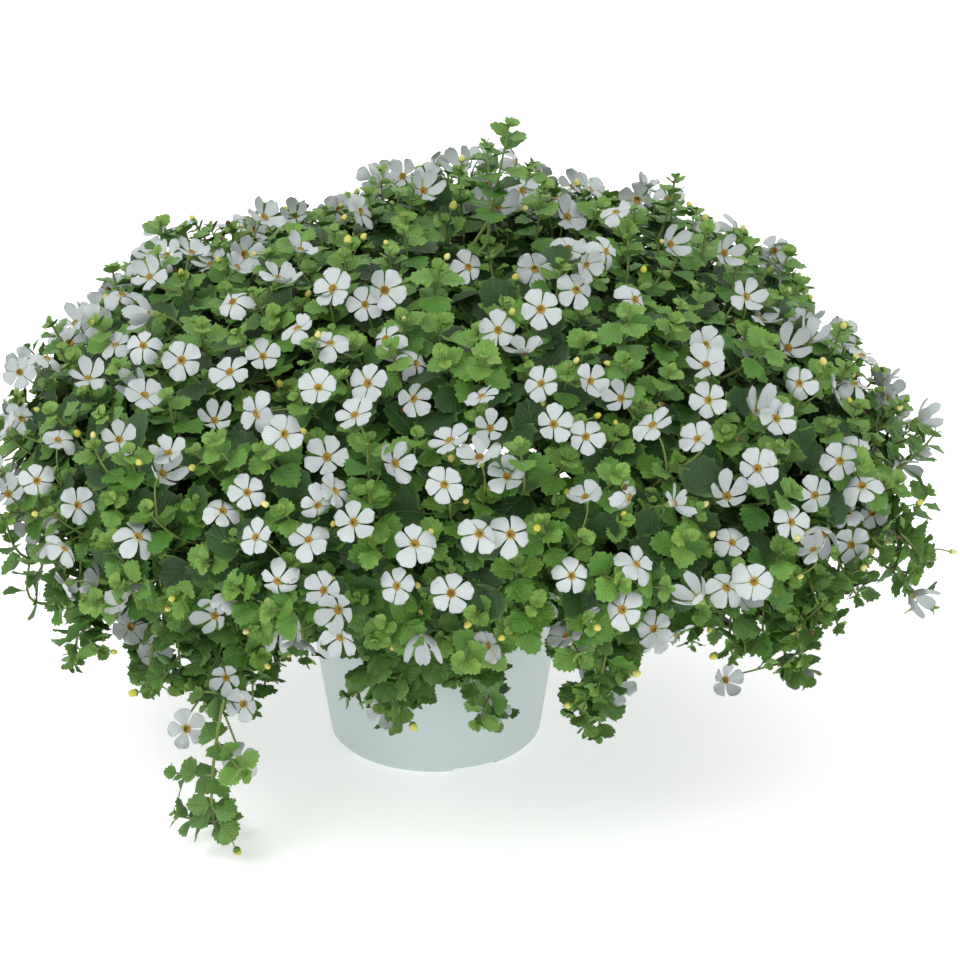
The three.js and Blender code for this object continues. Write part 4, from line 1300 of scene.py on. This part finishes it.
def grown(name, source, tree, inputs):
    """The plain mesh that a tree makes from a source mesh, as a new object."""
    carrier = linked(name + "_source", source)
    modifier = carrier.modifiers.new("grow", "NODES")
    modifier.node_group = tree
    for item in tree.interface.items_tree:
        if item.in_out == "INPUT" and item.name in inputs:
            modifier[item.identifier] = inputs[item.name]
    depsgraph = bpy.context.evaluated_depsgraph_get()
    made = bpy.data.meshes.new_from_object(
        carrier.evaluated_get(depsgraph), preserve_all_data_layers=True, depsgraph=depsgraph)
    made.name = name
    bpy.data.objects.remove(carrier)
    return linked(name, made)


def shape_collection(name, meshes):
    """A collection of shapes that isn't shown itself."""
    collection = bpy.data.collections.new(name)
    for mesh in meshes:
        collection.objects.link(bpy.data.objects.new(mesh.name, mesh))
    return collection


# Materials

def srgb(red, green, blue):
    """A colour as the picture shows it, as linear light."""
    def linear(value):
        share = value / 255
        return share / 12.92 if share <= 0.04045 else ((share + 0.055) / 1.055) ** 2.4
    return (linear(red), linear(green), linear(blue), 1)


class Finish:
    """A material under construction: its nodes and its shader."""

    def __init__(self, name, roughness, specular):
        self.material = bpy.data.materials.new(name)
        self.material.use_nodes = True
        self.tree = self.material.node_tree
        self.shader = self.tree.nodes["Principled BSDF"]
        self.shade("Roughness", roughness)
        self.shade("Specular IOR Level", specular)

    def shade(self, name, given):
        """Fills one of the shader's inputs."""
        fill(self.tree, self.shader.inputs[name], given)

    def node(self, kind, inputs=None, **settings):
        return add_node(self.tree, kind, inputs, **settings)

    def value(self, name):
        """What an attribute of the mesh says."""
        return self.node("ShaderNodeAttribute", attribute_name=name).outputs["Fac"]

    def flat(self):
        """The two parts of the flat map."""
        flat_map = self.node("ShaderNodeUVMap", uv_map="flat")
        parts = self.node("ShaderNodeSeparateXYZ", {"Vector": flat_map.outputs["UV"]})
        return parts.outputs["X"], parts.outputs["Y"]

    def math(self, operation, *given):
        return self.node("ShaderNodeMath", dict(enumerate(given)), operation=operation).outputs[0]

    def mix(self, share, first, second):
        given = {"Factor": share, MIX_FIRST: first, MIX_SECOND: second}
        return self.node("ShaderNodeMix", given, data_type="RGBA").outputs[MIX_RESULT]

    def between(self, value, low, high):
        """0 at low and 1 at high, and a smooth step between them."""
        given = {"Value": value, "From Min": low, "From Max": high}
        return self.node("ShaderNodeMapRange", given, interpolation_type="SMOOTHSTEP").outputs["Result"]

    def cloudy(self, scale, detail):
        place = self.node("ShaderNodeTexCoord").outputs["Object"]
        given = {"Vector": place, "Scale": scale, "Detail": detail}
        return self.node("ShaderNodeTexNoise", given).outputs["Fac"]

    def mottled(self, mottling, colour, shade, scale, amount):
        """A cloudy change from a colour to a shade, and its grain."""
        given = {"Colour": colour, "Shade": shade, "Scale": scale, "Amount": amount}
        clouds = self.node("ShaderNodeGroup", given, node_tree=mottling)
        return clouds.outputs["Colour"], clouds.outputs["Grain"]

    def bump(self, height, strength, distance):
        given = {"Height": height, "Strength": strength, "Distance": distance}
        self.shade("Normal", self.node("ShaderNodeBump", given).outputs["Normal"])


def mottling_group():
    """Cloudy change of a colour over a surface, with a fine grain for bump."""
    tree = bpy.data.node_groups.new("Mottling", "ShaderNodeTree")
    for name, way, kind in (
        ("Colour", "INPUT", "Color"),
        ("Shade", "INPUT", "Color"),
        ("Scale", "INPUT", "Float"),
        ("Amount", "INPUT", "Float"),
        ("Colour", "OUTPUT", "Color"),
        ("Grain", "OUTPUT", "Float"),
    ):
        tree.interface.new_socket(name, in_out=way, socket_type="NodeSocket" + kind)
    given = add_node(tree, "NodeGroupInput").outputs
    place = add_node(tree, "ShaderNodeTexCoord").outputs["Object"]
    clouds = add_node(tree, "ShaderNodeTexNoise", {
        "Vector": place, "Scale": given["Scale"], "Detail": 3})
    share = add_node(tree, "ShaderNodeMath", {
        0: clouds.outputs["Fac"], 1: given["Amount"]}, operation="MULTIPLY")
    mix = add_node(tree, "ShaderNodeMix", {
        "Factor": share.outputs[0], MIX_FIRST: given["Colour"], MIX_SECOND: given["Shade"],
    }, data_type="RGBA")
    fine_scale = add_node(tree, "ShaderNodeMath", {0: given["Scale"], 1: 8}, operation="MULTIPLY")
    grain = add_node(tree, "ShaderNodeTexNoise", {"Vector": place, "Scale": fine_scale.outputs[0]})
    add_node(tree, "NodeGroupOutput", {
        "Colour": mix.outputs[MIX_RESULT], "Grain": grain.outputs["Fac"]})
    return tree


def vein_lines(finish, aside, along):
    """A mask of the middle rib and of the side veins, which bend towards the leaf's tip."""
    rib = finish.math("SUBTRACT", 1, finish.between(aside, 0.004, 0.03))
    rise = finish.math("MULTIPLY", finish.math("POWER", aside, 0.75), 0.85)
    saw = finish.math("FRACT", finish.math("MULTIPLY", finish.math("SUBTRACT", along, rise), 5.5))
    ridge = finish.math("ABSOLUTE", finish.math("SUBTRACT", saw, 0.5))
    veins = finish.math("SUBTRACT", 1, finish.between(ridge, 0.0, 0.2))
    veins = finish.math("MULTIPLY", veins, finish.between(aside, 0.42, 0.12))
    return finish.math("MAXIMUM", rib, finish.math("MULTIPLY", veins, 0.55))


def leaf_margin(finish, aside, along):
    """A mask that grows towards the leaf's edge."""
    middle = finish.math("SUBTRACT", along, 0.55)
    wide = finish.math("MULTIPLY", finish.math("POWER", aside, 2.0), 4.4)
    long = finish.math("MULTIPLY", finish.math("POWER", finish.math("ABSOLUTE", middle), 2.0), 4.6)
    return finish.math("MULTIPLY", finish.between(finish.math("ADD", wide, long), 0.55, 1.15), 0.4)


def leaf_finish(mottling):
    """Soft green, young leaves and margins lighter, leaves deep in the mound darkened as painted shade,
    with sunken veins and a paler underside.
    """
    finish = Finish("leaf", roughness=0.5, specular=0.35)
    across, along = finish.flat()
    aside = finish.math("ABSOLUTE", finish.math("SUBTRACT", across, 0.5))
    lines = vein_lines(finish, aside, along)
    tint = finish.value("tint")
    age = finish.value("age")
    older = finish.mix(tint, srgb(66, 118, 40), srgb(100, 148, 58))
    # The darkest green, for leaves deep in the mound, is painted shade
    deepest_painted_shade = finish.mix(tint, srgb(26, 52, 20), srgb(40, 74, 28))
    younger = finish.mix(tint, srgb(134, 168, 76), srgb(106, 150, 62))
    grown_up = finish.mix(finish.between(age, 0.0, 0.42), younger, older)
    blade = finish.mix(finish.between(age, 0.8, 1.25), grown_up, deepest_painted_shade)
    mottled, grain = finish.mottled(mottling, blade, srgb(44, 84, 28), 260, 0.45)
    edged = finish.mix(leaf_margin(finish, aside, along), mottled, srgb(124, 162, 70))
    young = finish.math("SUBTRACT", 1.1, finish.math("MULTIPLY", age, 0.7))
    shown_lines = finish.math("MULTIPLY", finish.math("MULTIPLY", lines, 0.3), young)
    veined = finish.mix(shown_lines, edged, srgb(146, 174, 98))
    under = finish.math("MULTIPLY", finish.value("mark"), 0.5)
    finish.shade("Base Color", finish.mix(under, veined, srgb(96, 126, 70)))
    height = finish.math("SUBTRACT", finish.math("MULTIPLY", grain, 0.35), lines)
    finish.bump(height, 0.8, 0.0005)
    return finish.material


def stem_finish(mottling):
    """Green stems, brownish in places."""
    finish = Finish("stem", roughness=0.6, specular=0.3)
    colour, grain = finish.mottled(mottling, srgb(118, 146, 76), srgb(92, 88, 48), 60, 0.8)
    finish.shade("Base Color", colour)
    finish.bump(grain, 0.3, 0.0003)
    return finish.material


def bloom_finish(mottling):
    """White petals with an ochre throat, yellow buds, green calyxes and dried brown rests."""
    finish = Finish("bloom", roughness=0.62, specular=0.25)
    out, around = finish.flat()
    mark = finish.value("mark")
    tint = finish.value("tint")
    glow = finish.math("SUBTRACT", 1, finish.between(out, 0.19, 0.3))
    streaks = finish.math("ABSOLUTE", finish.math("SINE", finish.math("MULTIPLY", around, 19)))
    veins = finish.math("MULTIPLY", finish.math("POWER", streaks, 5), 0.3)
    petal = finish.mix(veins, srgb(178, 185, 184), srgb(150, 160, 160))
    petal = finish.mix(finish.math("MULTIPLY", glow, 0.7), petal, srgb(184, 176, 110))
    back = finish.mix(0.5, petal, srgb(168, 176, 172))
    ochre, grain = finish.mottled(mottling, srgb(178, 152, 60), srgb(122, 84, 30), 1100, 0.95)
    eye = finish.mix(finish.between(out, 0.1, 0.02), ochre, srgb(98, 72, 30))
    faded = finish.mix(finish.between(tint, 0.86, 1.1), eye, srgb(120, 76, 36))
    calyx = finish.mix(tint, srgb(88, 124, 50), srgb(120, 142, 68))
    bud = finish.mix(tint, srgb(176, 176, 62), srgb(204, 196, 126))
    shown = petal
    for first_mark, colour in (
        (PETAL_BACK, back), (THROAT, faded), (CALYX, calyx), (BUD, bud), (DRIED, srgb(84, 60, 38)),
    ):
        shown = finish.mix(finish.math("GREATER_THAN", mark, first_mark - 0.5), shown, colour)
    finish.shade("Base Color", shown)
    finish.bump(grain, 0.15, 0.0003)
    return finish.material


def pot_finish(mottling):
    """Satin pale plastic with faint flow marks."""
    finish = Finish("pot_plastic", roughness=0.42, specular=0.45)
    colour, _ = finish.mottled(mottling, srgb(196, 208, 207), srgb(180, 194, 193), 24, 0.7)
    finish.shade("Base Color", colour)
    finish.bump(finish.cloudy(900, 1), 0.08, 0.0003)
    return finish.material


def soil_finish(mottling):
    """Dark brown, crumbly potting mix."""
    finish = Finish("potting_mix", roughness=0.95, specular=0.2)
    colour, grain = finish.mottled(mottling, srgb(62, 44, 32), srgb(28, 20, 15), 160, 1)
    finish.shade("Base Color", colour)
    finish.bump(grain, 0.9, 0.002)
    return finish.material


def floor_finish():
    """White, and lit a little from below as a studio's light table is."""
    finish = Finish("floor", roughness=0.9, specular=0.1)
    finish.shade("Base Color", srgb(250, 250, 250))
    finish.shade("Emission Color", (1, 1, 1, 1))
    finish.shade("Emission Strength", 0.35)
    return finish.material


# The pot and the soil

def pot_radius(height):
    """The outer radius of the pot's wall."""
    return POT_BASE_RADIUS + POT_WALL_SLOPE * height


def mesh_from(made, name):
    """The mesh of a form under construction, which is freed."""
    mesh = bpy.data.meshes.new(name)
    made.to_mesh(mesh)
    made.free()
    return mesh


def lathe_mesh(name, profile, segments):
    """A closed form turned round Z from a profile of radius and height."""
    made = bmesh.new()
    ring = [made.verts.new((radius, 0, height)) for radius, height in profile]
    edges = [made.edges.new(pair) for pair in zip(ring, ring[1:])]
    bmesh.ops.spin(made, geom=ring + edges, cent=(0, 0, 0), axis=(0, 0, 1), angle=2 * math.pi,
                   steps=segments, use_merge=True)
    bmesh.ops.remove_doubles(made, verts=made.verts, dist=1e-6)
    bmesh.ops.recalc_face_normals(made, faces=made.faces)
    return mesh_from(made, name)


def rounded(corner, before, after, radius):
    """Points of an arc that rounds a profile's corner between its neighbours."""
    corner, before, after = Vector(corner), Vector(before), Vector(after)
    start = corner + (before - corner).normalized() * radius
    end = corner + (after - corner).normalized() * radius
    points = []
    for i in range(ROUNDING_STEPS + 1):
        t = i / ROUNDING_STEPS
        points.append(((1 - t) ** 2 * start + 2 * t * (1 - t) * corner + t * t * end).to_tuple())
    return points


def pot_profile():
    """Radius and height round the pot's section, each corner rounded by its own radius."""
    lip_bottom = POT_HEIGHT - LIP_HEIGHT
    corners = [
        ((0, 0), 0),
        ((PAD_RADIUS, 0), 0.0006),
        ((PAD_RADIUS, FOOT_HEIGHT), 0.0004),
        ((FOOT_INNER_RADIUS, FOOT_HEIGHT), 0.0004),
        ((FOOT_INNER_RADIUS, 0), 0.0005),
        ((FOOT_OUTER_RADIUS, 0), 0.0014),
        ((pot_radius(FOOT_HEIGHT), FOOT_HEIGHT), 0.0008),
        ((pot_radius(lip_bottom), lip_bottom), 0.0004),
        ((pot_radius(lip_bottom) + LIP_WIDTH, lip_bottom + 0.001), 0.0006),
        ((pot_radius(POT_HEIGHT) + LIP_WIDTH, POT_HEIGHT), 0.0009),
        ((pot_radius(POT_HEIGHT) - POT_WALL, POT_HEIGHT), 0.0005),
        ((pot_radius(POT_FLOOR_TOP) - POT_WALL, POT_FLOOR_TOP), 0.002),
        ((0, POT_FLOOR_TOP), 0),
    ]
    profile = []
    for i, (corner, radius) in enumerate(corners):
        if radius == 0:
            profile.append(corner)
        else:
            profile += rounded(corner, corners[i - 1][0], corners[i + 1][0], radius)
    return profile


def make_cutters():
    """The notches of the foot ring and the drain holes, as solid forms to cut away."""
    cutters = bmesh.new()
    for i in range(NOTCH_COUNT):
        turn = Matrix.Rotation(math.radians(NOTCH_AZIMUTH - 90 + 360 * i / NOTCH_COUNT), 4, "Z")
        notch = turn @ Matrix.Translation((FOOT_OUTER_RADIUS, 0, 0)) @ Matrix.Diagonal(
            (NOTCH_DEPTH, NOTCH_WIDTH, 2 * FOOT_HEIGHT, 1))
        bmesh.ops.create_cube(cutters, size=1, matrix=notch)
        drain = turn @ Matrix.Translation((DRAIN_CIRCLE, 0, 0))
        bmesh.ops.create_cone(cutters, cap_ends=True, segments=DRAIN_SIDES, radius1=DRAIN_RADIUS,
                              radius2=DRAIN_RADIUS, depth=3 * POT_FLOOR_TOP, matrix=drain)
    return linked("cutters", mesh_from(cutters, "cutters"))


def make_pot(material):
    """The thin-walled pot with its foot ring, notches, drain holes and lip."""
    pot = linked("pot_shell", lathe_mesh("pot_shell", pot_profile(), POT_SEGMENTS))
    cutter = make_cutters()
    cut = pot.modifiers.new("cut", "BOOLEAN")
    cut.operation = "DIFFERENCE"
    cut.solver = "EXACT"
    cut.object = cutter
    depsgraph = bpy.context.evaluated_depsgraph_get()
    made = bpy.data.meshes.new_from_object(pot.evaluated_get(depsgraph), depsgraph=depsgraph)
    bpy.data.objects.remove(cutter)
    bpy.data.objects.remove(pot)
    made.shade_smooth()
    made.set_sharp_from_angle(angle=math.radians(35))
    made.materials.clear()
    made.materials.append(material)
    return linked("plastic_pot", made)


def make_soil(material):
    """The potting mix: a lumpy top inside the pot's wall and a plain closed body below."""
    bottom = POT_FLOOR_TOP + SOIL_GAP
    made = bmesh.new()
    centre = made.verts.new((0, 0, SOIL_TOP))
    rings = []
    for ring in range(1, SOIL_RINGS + 1):
        radius = (pot_radius(SOIL_TOP) - POT_WALL - SOIL_GAP) * ring / SOIL_RINGS
        row = []
        for place in circle(radius, 0, SOIL_SECTORS):
            lump = sum(height * noise.noise(place * scale) for height, scale in SOIL_LUMPS)
            edge = 1 if ring < SOIL_RINGS else 0
            row.append(made.verts.new((place.x, place.y, SOIL_TOP + lump * edge - SOIL_GAP)))
        rings.append(row)
    inner = pot_radius(bottom) - POT_WALL - SOIL_GAP
    foot = [made.verts.new(place) for place in circle(inner, bottom, SOIL_SECTORS)]
    rings.append(foot)
    for sector in range(SOIL_SECTORS):
        after = (sector + 1) % SOIL_SECTORS
        made.faces.new((centre, rings[0][sector], rings[0][after]))
        for inner_row, outer_row in zip(rings, rings[1:]):
            made.faces.new((inner_row[sector], outer_row[sector], outer_row[after], inner_row[after]))
    made.faces.new(foot[::-1])
    mesh = mesh_from(made, "potting_mix")
    mesh.shade_smooth()
    mesh.materials.append(material)
    return linked("potting_mix", mesh)


# Stage

def make_camera():
    """The viewpoint of the photograph."""
    lens = bpy.data.cameras.new("camera")
    lens.sensor_width = SENSOR
    lens.lens = EYE_FOCAL / PICTURE_SIDE * SENSOR
    camera = linked("camera", lens)
    camera.location = EYE
    camera.rotation_euler = (math.radians(90 - EYE_TILT), 0, 0)
    bpy.context.scene.camera = camera


def make_floor():
    """A plain white floor."""
    mesh = bpy.data.meshes.new("floor")
    corners = [(x * FLOOR_HALF, y * FLOOR_HALF, 0) for x, y in ((-1, -1), (1, -1), (1, 1), (-1, 1))]
    mesh.from_pydata(corners, [], [(0, 1, 2, 3)])
    mesh.materials.append(floor_finish())
    linked("floor", mesh)


def add_light(name, place, power, size):
    """A soft square light that shines on the middle of the plant."""
    lamp = bpy.data.lights.new(name, "AREA")
    lamp.energy = power
    lamp.size = size
    light = linked(name, lamp)
    light.location = place
    light.rotation_euler = (Vector(place) - MOUND_CENTRE).to_track_quat("Z", "Y").to_euler()


def make_lights():
    """A white surround, with soft light from the left, the front and behind."""
    world = bpy.data.worlds.new("studio")
    world.use_nodes = True
    background = world.node_tree.nodes["Background"]
    background.inputs["Color"].default_value = (1, 1, 1, 1)
    background.inputs["Strength"].default_value = 1.0
    bpy.context.scene.world = world
    add_light("key", (-0.9, -1.2, 1.9), 17, 1.0)
    add_light("front", (0.4, -1.7, 0.6), 7, 1.4)
    add_light("back", (0.2, 1.6, 1.6), 6, 1.2)
    bpy.context.scene.view_settings.view_transform = "Standard"


def finish_piece(piece, nodes):
    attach(piece, "root")
    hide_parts(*nodes)


def grow_plant():
    """The plant with all that it carries."""
    plant = Plant()
    flowers = plan_flowers()
    grow_mound(plant, flowers)
    grow_inner_leaves(plant)
    grow_flowers(plant, flowers)
    grow_fringe(plant)
    grow_trails(plant)
    return plant


def nodes_of(group):
    """The names of the solids that a group's pieces replace."""
    if group == "trailing":
        return [f"trailing_stem_{i + 1:02d}" for i in range(len(TRAILS))]
    return [f"leafy_stem_{i:02d}" for i in GROUPS[group]]


def make_foliage(plant, mottling):
    """The leaves, blooms and stems of each group as finished pieces."""
    leaf_shapes = shape_collection("leaf_shapes", make_leaf_shapes())
    bloom_shapes = shape_collection("bloom_shapes", make_bloom_shapes())
    copies = copies_tree()
    tubes = stems_tree()
    leaf, stem, bloom = leaf_finish(mottling), stem_finish(mottling), bloom_finish(mottling)
    for name, growth in plant.groups.items():
        pieces = [
            grown(name + "_leaves", growth.leaves.mesh(name + "_leaf_points"), copies,
                  {"Shapes": leaf_shapes, "Size Spread": 0.08, "Seed": 3, "Finish": leaf}),
            grown(name + "_blooms", growth.blooms.mesh(name + "_bloom_points"), copies,
                  {"Shapes": bloom_shapes, "Size Spread": 0.06, "Seed": 5, "Finish": bloom}),
            grown(name + "_stems", growth.stems.mesh(name + "_stem_lines"), tubes,
                  {"Sides": STEM_SIDES, "Finish": stem}),
        ]
        for piece in pieces:
            finish_piece(piece, nodes_of(name))
    for collection in (leaf_shapes, bloom_shapes):
        for shape in list(collection.objects):
            bpy.data.objects.remove(shape)
        bpy.data.collections.remove(collection)


def build():
    """The stage, the pot, the soil and the plant."""
    make_camera()
    make_lights()
    make_floor()
    mottling = mottling_group()
    finish_piece(make_pot(pot_finish(mottling)), ["pot"])
    finish_piece(make_soil(soil_finish(mottling)), ["soil"])
    make_foliage(grow_plant(), mottling)


build()
